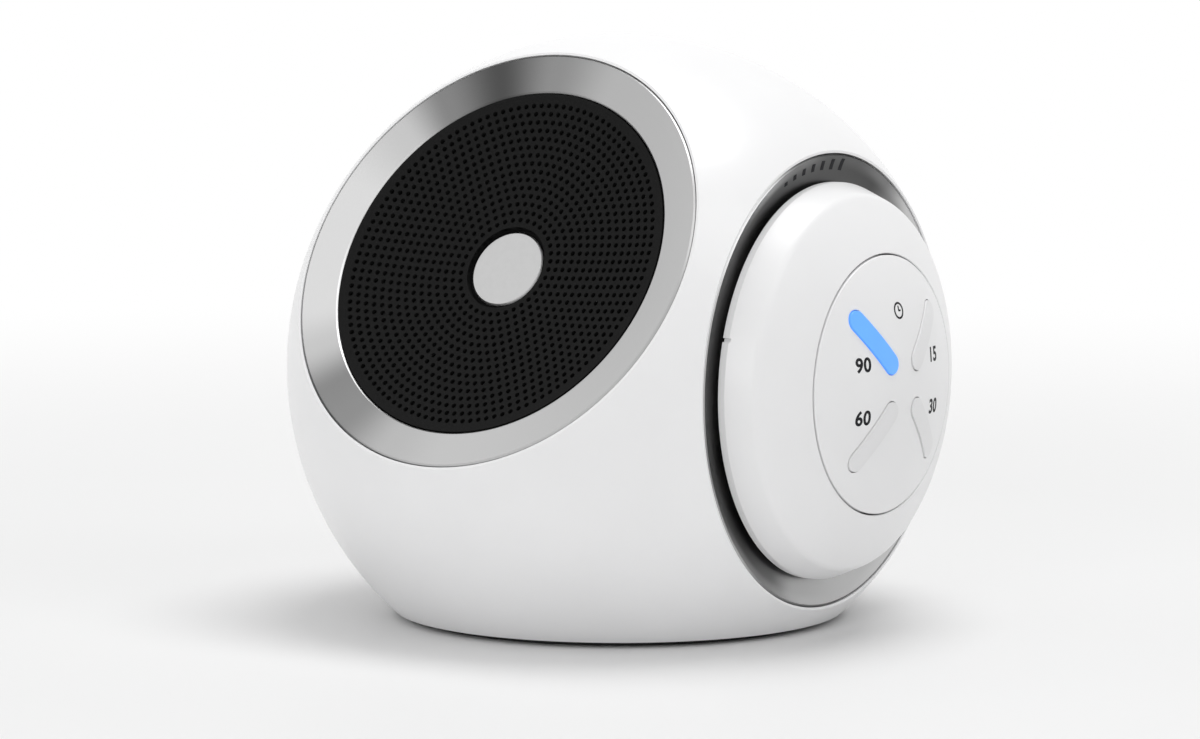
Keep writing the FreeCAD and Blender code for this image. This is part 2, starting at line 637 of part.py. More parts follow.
# Rings of holes, each ring holding six more holes than the one inside it
def grille():
    low = CAP_TOP - CAP_THICKNESS
    innermost = CAP_RADIUS + CAP_GROOVE + GRILLE_HOLE_RADIUS
    outermost = GRILLE_RADIUS - GRILLE_RIM_WIDTH - GRILLE_HOLE_RADIUS
    first_ring = math.ceil(innermost / HOLE_RING_PITCH)
    last_ring = math.floor(outermost / HOLE_RING_PITCH)
    holes = []
    for ring in range(first_ring, last_ring + 1):
        count = HOLES_PER_RING_STEP * ring
        for index in range(count):
            x, y = on_circle(ring * HOLE_RING_PITCH, 360.0 * index / count)
            holes.append(cylinder(GRILLE_HOLE_RADIUS, low, FACE_PLANE, x, y))
    return grille_plate().cut(Part.makeCompound(holes))


def grille_cap():
    low = CAP_TOP - CAP_THICKNESS
    cap = cylinder(CAP_RADIUS, low, CAP_TOP)
    return cap.makeChamfer(CAP_CHAMFER, [cap.Edges[0]])


def speaker_gasket():
    ring = tube(DRIVER_RADIUS, FLANGE_BORE_RADIUS, GASKET_BACK, FACE_FLANGE_BACK)
    hole = SCREW_RADIUS + SCREW_HOLE_GAP
    return drilled(ring, hole, 0, FAR, DRIVER_SCREW_CIRCLE, QUARTER_TURNS)


def speaker_frame():
    back_inner = BASKET_BACK_RADIUS - BASKET_WALL
    lip_inner = ROLL_OUTER_RADIUS - BASKET_WALL
    basket = turned([
        (lip_inner, GASKET_BACK),
        (DRIVER_RADIUS, GASKET_BACK),
        (DRIVER_RADIUS, DRIVER_PLATE_BACK),
        (ROLL_OUTER_RADIUS, DRIVER_PLATE_BACK),
        (BASKET_BACK_RADIUS, BASKET_BACK),
        (POLE_RADIUS + POLE_HOLE_GAP, BASKET_BACK),
        (POLE_RADIUS + POLE_HOLE_GAP, BASKET_BACK + BASKET_WALL),
        (back_inner, BASKET_BACK + BASKET_WALL),
        (lip_inner, DRIVER_PLATE_BACK),
    ])
    low = BASKET_BACK + 2 * BASKET_WALL
    high = DRIVER_PLATE_BACK - BASKET_WALL
    window = box(FAR, BASKET_WINDOW_WIDTH, low, high)
    crossed = window.copy()
    crossed.rotate(MIDDLE, AXIS, 90)
    basket = basket.cut(window.fuse(crossed))
    hole = SCREW_RADIUS + SCREW_HOLE_GAP
    return drilled(basket, hole, 0, FAR, DRIVER_SCREW_CIRCLE, QUARTER_TURNS)


# Half-round rubber roll between the frame and the cone
def speaker_surround():
    middle = (ROLL_OUTER_RADIUS + ROLL_INNER_RADIUS) / 2
    seat = GASKET_BACK
    top = seat + ROLL_THICKNESS
    lip_radius = ROLL_INNER_RADIUS - ROLL_LIP
    return turned([
        (lip_radius, seat),
        (ROLL_INNER_RADIUS, seat),
        ((middle, seat + ROLL_HEIGHT - ROLL_THICKNESS), (ROLL_OUTER_RADIUS, seat)),
        (FLANGE_BORE_RADIUS - SEAT_GAP, seat),
        (FLANGE_BORE_RADIUS - SEAT_GAP, top),
        (ROLL_OUTER_RADIUS, top),
        ((middle, seat + ROLL_HEIGHT), (ROLL_INNER_RADIUS, top)),
        (lip_radius, top),
    ])


def speaker_cone():
    rim = ROLL_INNER_RADIUS
    coil_bottom = BASKET_BACK + BASKET_WALL + COIL_FLOOR_GAP
    return turned([
        (rim, GASKET_BACK),
        (rim - ROLL_LIP, GASKET_BACK),
        (CONE_NECK_RADIUS, CONE_NECK_PLANE + CONE_THICKNESS),
        (CONE_BORE_RADIUS, CONE_NECK_PLANE + CONE_THICKNESS),
        (CONE_BORE_RADIUS, coil_bottom),
        (CONE_NECK_RADIUS, coil_bottom),
        (CONE_NECK_RADIUS, CONE_NECK_PLANE - CONE_THICKNESS / 2),
        (rim, GASKET_BACK - CONE_THICKNESS),
    ])


def speaker_dust_cap():
    reach = CONE_NECK_RADIUS
    low = CONE_NECK_PLANE + CONE_THICKNESS
    radius = (reach ** 2 + DUST_CAP_HEIGHT ** 2) / (2 * DUST_CAP_HEIGHT)
    centre = low + DUST_CAP_HEIGHT - radius
    dome = ball(radius, centre).cut(ball(radius - CONE_THICKNESS, centre))
    return dome.common(cylinder(reach, low, FAR))


def speaker_magnet():
    top = BASKET_BACK
    magnet = cylinder(MAGNET_RADIUS, top - MAGNET_THICKNESS, top)
    magnet = magnet.makeFillet(MAGNET_ROUND, [magnet.Edges[2]])
    return magnet.fuse(cylinder(POLE_RADIUS, top - MARGIN, POLE_TOP)).removeSplitter()


def speaker_screws():
    length = FACE_FLOOR - SCREW_HOLE_END - SCREW_TIP_GAP - DRIVER_PLATE_BACK
    return screw_set(DRIVER_PLATE_BACK, length, DRIVER_SCREW_CIRCLE, QUARTER_TURNS, True)


def dial_ring():
    edge = RING_RADIUS - RING_CHAMFER
    return turned([
        (RING_INNER_RADIUS, DIAL_FLOOR),
        (RING_RADIUS, DIAL_FLOOR),
        (RING_RADIUS, DIAL_PLANE - RING_CHAMFER),
        (edge, DIAL_PLANE),
        ((RING_RADIUS - RING_EDGE_WIDTH, DIAL_FLOOR + RING_EDGE_THICKNESS),
         (RING_RADIUS - RING_FOOT_WIDTH, DIAL_FLOOR + RING_FOOT_THICKNESS)),
        (RING_INNER_RADIUS, DIAL_FLOOR + RING_INNER_THICKNESS),
    ])


def dial_carrier():
    plate = tube(CARRIER_RADIUS, CARRIER_HOLE_RADIUS, CARRIER_BACK, DIAL_FLANGE_BACK)
    boss = tube(BOSS_RADIUS, BOSS_BORE, DIAL_FLANGE_BACK, BOSS_TOP)
    ledge_inner = BOSS_BORE - BOARD_LEDGE_WIDTH
    ledge = tube(BOSS_BORE, ledge_inner, DIAL_FLANGE_BACK, TIMER_BOARD_PLANE)
    carrier = plate.multiFuse([boss, ledge]).removeSplitter()
    hole = SCREW_RADIUS + SCREW_HOLE_GAP
    return drilled(carrier, hole, 0, FAR, CARRIER_SCREW_CIRCLE, SHIFTED_TURNS)


def dial_carrier_screws():
    length = DIAL_FLOOR - SCREW_HOLE_END - SCREW_TIP_GAP - CARRIER_BACK
    return screw_set(CARRIER_BACK, length, CARRIER_SCREW_CIRCLE, SHIFTED_TURNS, True)


def volume_track():
    return tube(TRACK_OUTER_RADIUS, TRACK_INNER_RADIUS, DIAL_FLANGE_BACK, TRACK_TOP)


# Spring contacts under the knob flange, evenly spaced round it
def volume_wiper():
    width = 2 * WIPER_OUTER_RADIUS * math.sin(math.radians(WIPER_SPREAD / 2))
    sector = box(WIPER_OUTER_RADIUS, width, 0, FAR, WIPER_OUTER_RADIUS / 2)
    ring = tube(WIPER_OUTER_RADIUS, WIPER_INNER_RADIUS, WIPER_BACK, KNOB_FLANGE_BACK)
    contact = ring.common(sector)
    pieces = []
    for index in range(WIPER_COUNT):
        piece = contact.copy()
        piece.rotate(MIDDLE, AXIS, 360.0 * index / WIPER_COUNT)
        pieces.append(piece)
    return Part.makeCompound(pieces)


# Dome, softly creased side band, sleeve that turns on the boss and captive flange under the ring
def volume_knob():
    middle = (KNOB_CREASE_RADIUS + SLEEVE_BORE) / 2
    inner_radius = DOME_RADIUS - KNOB_WALL
    band_inner = KNOB_CREASE_RADIUS - KNOB_WALL
    rim_inner = KNOB_RIM_RADIUS - KNOB_WALL
    inner_middle = (band_inner + SLEEVE_RADIUS) / 2
    knob = turned([
        (SLEEVE_BORE, KNOB_FLANGE_BACK),
        (KNOB_FLANGE_RADIUS, KNOB_FLANGE_BACK),
        (KNOB_FLANGE_RADIUS, KNOB_FLANGE_TOP),
        (SLEEVE_RADIUS, KNOB_FLANGE_TOP),
        (SLEEVE_RADIUS, arc_height(inner_radius, DOME_CENTRE, SLEEVE_RADIUS)),
        ((inner_middle, arc_height(inner_radius, DOME_CENTRE, inner_middle)),
         (band_inner, arc_height(inner_radius, DOME_CENTRE, band_inner))),
        (rim_inner, KNOB_RIM_BACK),
        (KNOB_RIM_RADIUS, KNOB_RIM_BACK),
        (KNOB_RIM_RADIUS, KNOB_RIM_TOP),
        (KNOB_CREASE_RADIUS, KNOB_CREASE_TOP),
        ((middle, arc_height(DOME_RADIUS, DOME_CENTRE, middle)),
         (SLEEVE_BORE, arc_height(DOME_RADIUS, DOME_CENTRE, SLEEVE_BORE))),
    ])
    knob = knob.makeFillet(KNOB_CREASE_ROUND, [edge_at(knob, KNOB_CREASE_RADIUS, KNOB_CREASE_TOP)])
    knob = knob.makeFillet(KNOB_RIM_ROUND, [edge_at(knob, KNOB_RIM_RADIUS, KNOB_RIM_TOP)])
    notch = box(2 * INDEX_DEPTH, INDEX_WIDTH, KNOB_RIM_BACK - MARGIN, KNOB_RIM_TOP + MARGIN)
    notch.translate(FreeCAD.Vector(KNOB_RIM_RADIUS, 0, 0))
    notch.rotate(MIDDLE, AXIS, INDEX_ANGLE)
    return knob.cut(notch)


# The round edge of that radius at that height
def edge_at(shape, radius, height):
    for edge in shape.Edges:
        curve = edge.Curve
        if isinstance(curve, Part.Circle) and abs(curve.Center.z - height) < TOLERANCE:
            if abs(curve.Radius - radius) < TOLERANCE:
                return edge


def timer_board():
    radius = BOSS_BORE - TIMER_BOARD_GAP
    top = TIMER_BOARD_PLANE + TIMER_BOARD_THICKNESS
    return cylinder(radius, TIMER_BOARD_PLANE, top)


def timer_switches():
    pieces = []
    for angle in BUTTON_ANGLES:
        x, y = on_circle(BUTTON_MIDDLE, angle)
        housing = box(SWITCH_SIDE, SWITCH_SIDE, SWITCH_FLOOR, SWITCH_TOP)
        well = BUTTON_STEM_RADIUS + SWITCH_WELL_GAP
        housing = housing.cut(cylinder(well, SWITCH_WELL_FLOOR, FAR))
        housing.rotate(MIDDLE, AXIS, angle)
        housing.translate(FreeCAD.Vector(x, y, 0))
        pieces.append(housing)
    return Part.makeCompound(pieces)


def timer_lights():
    pieces = []
    for angle in BUTTON_ANGLES:
        x, y = on_circle(LIGHT_REACH, angle)
        light = box(LIGHT_SIDE, LIGHT_SIDE, SWITCH_FLOOR, SWITCH_FLOOR + LIGHT_HEIGHT)
        light.rotate(MIDDLE, AXIS, angle)
        light.translate(FreeCAD.Vector(x, y, 0))
        pieces.append(light)
    return Part.makeCompound(pieces)


# A bar with round ends, lying along one spoke of the timer disc
def bar(width, low, high, angle):
    length = BUTTON_OUTER_REACH - BUTTON_INNER_REACH
    middle = box(length, width, low, high, BUTTON_MIDDLE)
    ends = [
        cylinder(width / 2, low, high, BUTTON_INNER_REACH),
        cylinder(width / 2, low, high, BUTTON_OUTER_REACH),
    ]
    shape = middle.multiFuse(ends).removeSplitter()
    shape.rotate(MIDDLE, AXIS, angle)
    return shape


def timer_disc():
    inner_radius = DOME_RADIUS - DISC_THICKNESS
    skirt_inner = DISC_RADIUS - DISC_SKIRT_WALL
    disc = turned([
        (skirt_inner, BOSS_TOP),
        (DISC_RADIUS, BOSS_TOP),
        (DISC_RADIUS, BOSS_TOP + DISC_SKIRT_HEIGHT),
        ((DISC_RADIUS / 2, arc_height(DOME_RADIUS, DOME_CENTRE, DISC_RADIUS / 2)),
         (0, DOME_CENTRE + DOME_RADIUS)),
        (0, DOME_CENTRE + inner_radius),
        ((skirt_inner / 2, arc_height(inner_radius, DOME_CENTRE, skirt_inner / 2)),
         (skirt_inner, arc_height(inner_radius, DOME_CENTRE, skirt_inner))),
    ])
    slots = []
    for angle in BUTTON_ANGLES:
        slots.append(bar(BUTTON_WIDTH + 2 * BUTTON_GAP, BOSS_TOP, FAR, angle))
    return disc.cut(Part.makeCompound(slots))


# Slightly raised bar, a wider lip behind the disc and a stem that reaches into the switch
def timer_button(angle):
    lip_top = DOME_RADIUS - DISC_THICKNESS - BUTTON_LIP_GAP
    lip_back = lip_top - BUTTON_LIP_THICKNESS
    key = bar(BUTTON_WIDTH, BOSS_TOP, FAR, angle)
    key = key.common(ball(DOME_RADIUS + BUTTON_PROUD, DOME_CENTRE))
    lip = bar(BUTTON_WIDTH + 2 * BUTTON_LIP, BOSS_TOP, FAR, angle)
    lip = lip.common(ball(lip_top, DOME_CENTRE))
    x, y = on_circle(BUTTON_MIDDLE, angle)
    button = key.fuse(lip).cut(ball(lip_back, DOME_CENTRE))
    stem = cylinder(BUTTON_STEM_RADIUS, BUTTON_STEM_TIP, DOME_CENTRE + lip_back, x, y)
    return button.fuse(stem).removeSplitter()


def rear_cover():
    cover = ball(BALL_RADIUS).cut(ball(INNER_RADIUS))
    pad = cylinder(INLET_PAD_RADIUS, INLET_PAD_BACK, FAR, 0, -INLET_DROP)
    pads = Part.makeCompound([pad] + rear_bosses(REAR_BOSS_TOP, BALL_RADIUS))
    cover = cover.fuse(pads.common(ball(BALL_RADIUS - FLANGE_SPHERE_INSET)))
    cover = cover.common(cylinder(REAR_COVER_RADIUS, 0, FAR))
    cover = cover.cut(cylinder(INLET_RECESS_RADIUS, INLET_RECESS_FLOOR, FAR, 0, -INLET_DROP))
    cover = cover.cut(cylinder(INLET_NOSE_RADIUS + INLET_NOSE_GAP, 0, FAR, 0, -INLET_DROP))
    well = SCREW_HEAD_RADIUS + HEAD_WELL_GAP
    cover = drilled(cover, well, REAR_SCREW_SEAT, FAR, REAR_SCREW_CIRCLE, QUARTER_TURNS)
    hole = SCREW_RADIUS + SCREW_HOLE_GAP
    return drilled(cover, hole, 0, FAR, REAR_SCREW_CIRCLE, QUARTER_TURNS)


def rear_cover_screws():
    length = REAR_SCREW_SEAT - REAR_BOSS_BACK - SCREW_HOLE_END - SCREW_TIP_GAP
    return screw_set(REAR_SCREW_SEAT, length, REAR_SCREW_CIRCLE, QUARTER_TURNS)


def power_inlet():
    housing = box(INLET_BODY_WIDTH, INLET_BODY_HEIGHT, INLET_BODY_BACK, INLET_PAD_BACK)
    nose = cylinder(INLET_NOSE_RADIUS, INLET_PAD_BACK - MARGIN, INLET_NOSE_TOP)
    bore = cylinder(INLET_BORE_RADIUS, INLET_BORE_FLOOR, FAR)
    pin = cylinder(INLET_PIN_RADIUS, INLET_BORE_FLOOR - MARGIN, INLET_PIN_TOP)
    inlet = housing.fuse(nose).cut(bore).fuse(pin).removeSplitter()
    inlet.translate(FreeCAD.Vector(0, -INLET_DROP, 0))
    return inlet


def build():
    parts = {
        "body_shell": body_shell(),
        "base_plate": base_plate(),
        "base_foot": base_foot(),
        "base_screws": base_screws(),
        "main_board": main_board(),
        "main_board_parts": main_board_parts(),
        "main_board_screws": main_board_screws(),
        "rear_cover": facing_rear(rear_cover()),
        "rear_cover_screws": facing_rear(rear_cover_screws()),
        "power_inlet": facing_rear(power_inlet()),
        "speaker_bezel": facing_speaker(bezel()),
        "speaker_grille": facing_speaker(grille()),
        "grille_cap": facing_speaker(grille_cap()),
        "speaker_gasket": facing_speaker(speaker_gasket()),
        "speaker_frame": facing_speaker(speaker_frame()),
        "speaker_surround": facing_speaker(speaker_surround()),
        "speaker_cone": facing_speaker(speaker_cone()),
        "speaker_dust_cap": facing_speaker(speaker_dust_cap()),
        "speaker_magnet": facing_speaker(speaker_magnet()),
        "speaker_screws": facing_speaker(speaker_screws()),
        "dial_ring": facing_dial(dial_ring()),
        "dial_carrier": facing_dial(dial_carrier()),
        "dial_carrier_screws": facing_dial(dial_carrier_screws()),
        "volume_track": facing_dial(volume_track()),
        "volume_wiper": facing_dial(volume_wiper()),
        "volume_knob": facing_dial(volume_knob()),
        "timer_board": facing_dial(timer_board()),
        "timer_switches": facing_dial(timer_switches()),
        "timer_lights": facing_dial(timer_lights()),
        "timer_disc": facing_dial(timer_disc()),
    }
    for name, angle in zip(BUTTON_NAMES, BUTTON_ANGLES):
        parts["timer_button_" + name] = facing_dial(timer_button(angle))
    return parts


os.makedirs("parts", exist_ok=True)
for name, shape in build().items():
    assert shape.isValid(), name
    shape.exportStep("parts/" + name + ".step")
    print(name, len(shape.Solids), len(shape.Faces), round(shape.Volume, 1))
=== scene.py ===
import math

import bmesh
import bpy
from mathutils import Matrix, Vector


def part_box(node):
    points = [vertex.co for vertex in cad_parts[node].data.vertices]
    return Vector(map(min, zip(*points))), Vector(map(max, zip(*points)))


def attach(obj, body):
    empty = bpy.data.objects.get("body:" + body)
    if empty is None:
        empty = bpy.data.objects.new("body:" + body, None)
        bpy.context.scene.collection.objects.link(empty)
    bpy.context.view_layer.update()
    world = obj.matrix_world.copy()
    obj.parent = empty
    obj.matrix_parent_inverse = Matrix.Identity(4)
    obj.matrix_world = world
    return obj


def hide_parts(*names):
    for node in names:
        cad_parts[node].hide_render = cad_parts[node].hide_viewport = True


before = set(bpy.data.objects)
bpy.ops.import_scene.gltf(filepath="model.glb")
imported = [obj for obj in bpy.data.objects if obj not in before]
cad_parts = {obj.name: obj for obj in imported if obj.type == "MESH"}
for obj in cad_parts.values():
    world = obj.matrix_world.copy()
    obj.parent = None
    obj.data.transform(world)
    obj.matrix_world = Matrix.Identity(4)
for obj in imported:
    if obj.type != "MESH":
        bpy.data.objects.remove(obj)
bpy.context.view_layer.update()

bl_info = {
    "name": "White noise sound machine",
    "version": (1, 0, 0),
    "blender": (4, 5, 0),
    "location": "View3D > Sidebar > Sound machine",
    "description": "Dresses the packed sound machine and sets its stage",
    "category": "Object",
}

MM = 0.001

# The ball's centre, from the knob that turns about it
KNOB_LOW, KNOB_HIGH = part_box("volume_knob")
BALL_CENTRE = Vector((0, 0, (KNOB_LOW.z + KNOB_HIGH.z) / 2))


def turned(degrees, axis):
    return Matrix.Rotation(math.radians(degrees), 4, axis)


# Each face's own frame has its origin at the ball's centre and its z axis out of the ball
BALL_PLACE = Matrix.Translation(BALL_CENTRE)
SPEAKER_PLACE = BALL_PLACE @ turned(60, "X")
DIAL_PLACE = BALL_PLACE @ turned(90, "Y") @ turned(90, "Z")
REAR_PLACE = BALL_PLACE @ turned(-90, "X") @ turned(180, "Z")
BASE_PLACE = BALL_PLACE @ turned(180, "X")
FLAT_PLACE = Matrix.Identity(4)


def length(name, description, millimetres):
    return bpy.props.FloatProperty(
        name=name, description=description, default=millimetres * MM, unit="LENGTH", precision=5
    )


def tint(name, description, default):
    return bpy.props.FloatVectorProperty(
        name=name, description=description, default=default, subtype="COLOR", size=3, min=0, max=1
    )


def number(name, description, default):
    return bpy.props.IntProperty(name=name, description=description, default=default)


def angle(name, description, degrees):
    return bpy.props.FloatProperty(
        name=name, description=description, default=math.radians(degrees),
        subtype="ANGLE", unit="ROTATION"
    )


class ShellSettings(bpy.types.PropertyGroup):
    ball_radius: length("Ball radius", "Outside radius of the white ball", 59.0)
    shell_bottom: length("Shell bottom", "Height of the shell's lower edge", 1.0)
    wall: length("Wall", "Thickness shown at the shell's openings", 2.6)
    ledge: length("Ledge", "Width of the ledge on the floor of a pocket", 5.0)
    speaker_plane: length("Speaker cut", "Distance of the speaker face from the centre", 43.7)
    speaker_pocket: length("Speaker pocket", "Radius of the pocket for the bezel", 39.2)
    speaker_floor: length("Speaker floor", "Distance of that pocket's floor from the centre", 42)
    dial_plane: length("Dial cut", "Distance of the dial face from the centre", 43.6)
    dial_pocket: length("Dial pocket", "Radius of the pocket for the dial ring", 39.3)
    dial_floor: length("Dial floor", "Distance of that pocket's floor from the centre", 41.6)
    rear_opening: length("Rear opening", "Radius of the opening for the rear cover", 39.0)
    base_opening: length("Base opening", "Radius of the opening for the base plate", 38.3)
    white: tint("Shell white", "Colour of the moulded shell", (0.86, 0.86, 0.865))


class SpeakerSettings(bpy.types.PropertyGroup):
    dish_bottom: length("Dish bottom", "Distance from the centre to the dish's middle", 39.74)
    dish_radius: length("Dish radius", "Radius of the shallow dish", 184.7)
    bezel_radius: length("Bezel radius", "Outside radius of the metal bezel", 39.0)
    bezel_inner: length("Bezel opening", "Inside radius of the metal bezel", 32.3)
    bezel_edge: length("Bezel edge", "Width of the bevels on the bezel", 0.3)
    grille_radius: length("Grille radius", "Outside radius of the grille", 32.1)
    grille_rim: length("Grille rim", "Width of the plain rim round the holes", 0.5)
    grille_thickness: length("Grille thickness", "Thickness of the grille sheet", 0.8)
    grille_step: length("Grille step", "Distance of the grille's seat from the centre", 41.2)
    hole_pitch: length("Hole pitch", "Distance between two rings of holes", 1.5)
    hole_radius: length("Hole radius", "Radius of a grille hole", 0.47)
    first_ring: number("First ring", "Innermost ring of holes, counted from the centre", 6)
    last_ring: number("Last ring", "Outermost ring of holes", 20)
    cap_radius: length("Cap radius", "Radius of the metal cap", 7.0)
    cap_groove: length("Cap groove", "Width of the dark groove round the cap", 0.67)
    cap_top: length("Cap top", "Distance of the cap's face from the centre", 39.4)
    cap_thickness: length("Cap thickness", "Thickness of the cap", 1.0)
    cap_edge: length("Cap edge", "Width of the cap's bevel", 0.3)
    cap_lip: length("Cap lip", "Width of the lip round the cup that holds the cap", 0.9)
    # This tint scales the painted reflection sectors of the bezel and the ring
    metal: tint("Metal", "Tint over the light and dark sectors of the metal", (1.0, 1.0, 1.0))
    cap_metal: tint("Cap metal", "Colour of the metal cap", (0.57, 0.57, 0.57))
    black: tint("Grille black", "Colour of the grille", (0.010, 0.010, 0.010))


class DialSettings(bpy.types.PropertyGroup):
    ring_radius: length("Ring radius", "Outside radius of the dial ring", 39.1)
    ring_inner: length("Ring opening", "Inside radius of the dial ring", 25.3)
    ring_edge: length("Ring edge", "Width of the bevel on the dial ring", 0.3)
    ring_back: length("Ring back", "Distance of the ring's inner edge from the centre", 42.2)
    # The ring's painted reflection is darker near the knob and gives way to its outer sectors
    # between these reaches
    blend_start: length("Blend start", "Reach where the ring's inner shade starts to fade", 36.6)
    blend_end: length("Blend end", "Reach where only the ring's outer shade is left", 38.6)
    dome_radius: length("Dome radius", "Radius of the knob and disc dome", 58.5)
    dome_centre: length("Dome centre", "Distance from the ball's centre to the dome's", 0.64)
    rim_radius: length("Rim radius", "Largest radius of the knob", 34.3)
    rim_back: length("Rim back", "Distance of the knob's back edge from the centre", 43.3)
    rim_top: length("Rim top", "Distance of the knob's sharp rim from the centre", 44.53)
    crease_radius: length("Crease radius", "Radius where the band meets the dome", 32.27)
    crease_round: length("Crease round", "Rounding of that crease", 2.8)
    rim_round: length("Rim round", "Rounding of the knob's rim", 0.35)
    knob_wall: length("Knob wall", "Thickness of the knob's band", 2.0)
    knob_corner: length("Knob corner", "Height of the corner inside the crease", 47.6)
    sleeve_bore: length("Sleeve bore", "Inside radius of the knob", 22.5)
    sleeve_wall: length("Sleeve wall", "Thickness of the knob's sleeve", 2.3)
    sleeve_back: length("Sleeve back", "Distance of the sleeve's end from the centre", 46.0)
    sleeve_root: length("Sleeve root", "Height where the sleeve meets the knob", 52.0)
    sleeve_edge: length("Sleeve edge", "Bevel at the mouth of the sleeve", 0.15)
    disc_radius: length("Disc radius", "Radius of the fixed timer disc", 22.2)
    disc_thickness: length("Disc thickness", "Thickness of the timer disc", 2.0)
    disc_skirt: length("Disc skirt", "Thickness of the disc's skirt", 1.8)
    disc_back: length("Disc back", "Distance of the skirt's end from the centre", 51.0)
    disc_edge: length("Disc edge", "Bevel round the timer disc", 0.12)
    index_angle: angle("Index angle", "Place of the index notch on the rim", 163.5)
    stroke_foot: length("Stroke foot", "Distance of the loudness strokes from the axis", 36.4)
    stroke_width: length("Stroke width", "Width of a loudness stroke", 0.95)
    stroke_first: length("First stroke", "Length of the shortest stroke", 0.7)
    stroke_growth: length("Stroke growth", "How much longer each next stroke is", 0.22)
    stroke_step: angle("Stroke step", "Angle between two strokes", 4.6)
    stroke_middle: angle("Stroke middle", "Angle of the middle stroke", 96)
    stroke_count: number("Strokes", "Number of loudness strokes on the dial ring", 7)
    knob_white: tint("Knob white", "Colour of the knob and the disc", (0.85, 0.85, 0.855))
    ink: tint("Ink", "Colour of the printed signs", (0.012, 0.012, 0.014))


class TimerSettings(bpy.types.PropertyGroup):
    inner_reach: length("Inner reach", "Distance from the axis to a bar's inner end centre", 5.9)
    outer_reach: length("Outer reach", "Distance from the axis to a bar's outer end centre", 16.8)
    width: length("Bar width", "Width of a timer bar", 3.6)
    gap: length("Bar gap", "Gap round a timer bar", 0.2)
    proud: length("Bar height", "How far a bar stands out of the disc", 0.25)
    skin: length("Bar depth", "Depth of a bar's visible sides", 2.4)
    edge: length("Bar edge", "Rounding of a bar's upper edge", 0.22)
    number_height: length("Number height", "Height of the printed numbers", 2.6)
    number_weight: length("Number weight", "How far a number's outline is drawn outward", 0.1)
    number_side: length("Number side", "Distance of a number from the middle, sideways", 11.6)
    number_rise: length("Number rise", "Distance of a number from the middle, upright", 4.5)
    clock_rise: length("Clock rise", "Height of the clock sign over the middle", 12.9)
    clock_radius: length("Clock radius", "Outside radius of the clock sign", 1.45)
    clock_line: length("Clock line", "Width of the clock sign's circle", 0.35)
    hand_width: length("Hand width", "Width of the clock sign's hands", 0.3)
    lit: tint("Lit bar", "Colour of the lit bar", (0.105, 0.34, 0.9))
    unlit: tint("Unlit bar", "Colour of the other bars", (0.80, 0.80, 0.805))


class StageSettings(bpy.types.PropertyGroup):
    camera_turn: angle("Camera turn", "Angle from the speaker side towards the dial", 34.26)
    camera_rise: angle("Camera rise", "Angle of the camera above the ball's centre", 6.04)
    camera_distance: length("Camera distance", "Distance from the ball's centre", 813.05)
    aim_turn: angle("Aim turn", "How far the camera aims to the left of the ball's centre", 0.24)
    aim_tip: angle("Aim tip", "How far the camera aims above the ball's centre", -0.05)
    lens: bpy.props.FloatProperty(
        name="Lens", description="Focal length for a wide sensor", default=137.05, unit="CAMERA"
    )


SETTINGS = {
    "shell": ShellSettings, "speaker": SpeakerSettings, "dial": DialSettings,
    "timer": TimerSettings, "stage_room": StageSettings,
}


# Profiles are lists of (radius, height) in a face's own frame

def evenly(start, end, steps):
    return [start + (end - start) * step / steps for step in range(steps + 1)]


def dome_height(settings, reach, inset=0.0):
    return settings.dome_centre + math.sqrt((settings.dome_radius - inset) ** 2 - reach ** 2)


def dome_profile(settings, outer, inner, steps, inset=0.0):
    return [(reach, dome_height(settings, reach, inset)) for reach in evenly(outer, inner, steps)]


def dish_height(settings, reach):
    drop = math.sqrt(settings.dish_radius ** 2 - reach ** 2)
    return settings.dish_bottom + settings.dish_radius - drop


# Points of the dial ring's hollow face, between its opening and its bevel
RING_CURVE = [
    (34.6 * MM, 42.35 * MM), (35.8 * MM, 42.5 * MM),
    (37.0 * MM, 42.8 * MM), (38.0 * MM, 43.15 * MM),
]

# Distance within which two points are one
TOUCH = 1e-7
# Edges that turn further than this stay sharp
SHARP_ANGLE = math.radians(28)


# Tools that make and place meshes

def spun(profile, segments, closed=True):
    mesh = bmesh.new()
    corners = [mesh.verts.new((reach, 0, height)) for reach, height in profile]
    edges = [mesh.edges.new(pair) for pair in zip(corners, corners[1:])]
    if closed:
        edges.append(mesh.edges.new((corners[-1], corners[0])))
    bmesh.ops.spin(
        mesh, geom=corners + edges, cent=(0, 0, 0), axis=(0, 0, 1), dvec=(0, 0, 0),
        angle=math.radians(360), steps=segments, use_merge=True, use_duplicate=False
    )
    bmesh.ops.remove_doubles(mesh, verts=mesh.verts, dist=TOUCH)
    bmesh.ops.recalc_face_normals(mesh, faces=mesh.faces)
    return mesh


def shift(mesh, x, y, z=0.0):
    bmesh.ops.translate(mesh, vec=(x, y, z), verts=mesh.verts)


def swing(mesh, turn):
    matrix = Matrix.Rotation(turn, 3, "Z")
    bmesh.ops.rotate(mesh, cent=(0, 0, 0), matrix=matrix, verts=mesh.verts)


def block(width, height, depth):
    mesh = bmesh.new()
    bmesh.ops.create_cube(mesh, size=1.0)
    bmesh.ops.scale(mesh, vec=(width, height, depth), verts=mesh.verts)
    return mesh


def picked(made, kind):
    return [item for item in made if isinstance(item, kind)]


# Thickens a sheet by moving a copy of all its faces
def thicken(mesh, rise):
    made = bmesh.ops.extrude_face_region(mesh, geom=mesh.faces[:], use_keep_orig=True)
    moved = picked(made["geom"], bmesh.types.BMVert)
    bmesh.ops.translate(mesh, verts=moved, vec=(0, 0, rise))
    return moved


def soften(mesh):
    for face in mesh.faces:
        face.smooth = True
    for edge in mesh.edges:
        edge.smooth = len(edge.link_faces) == 2 and edge.calc_face_angle(0) < SHARP_ANGLE


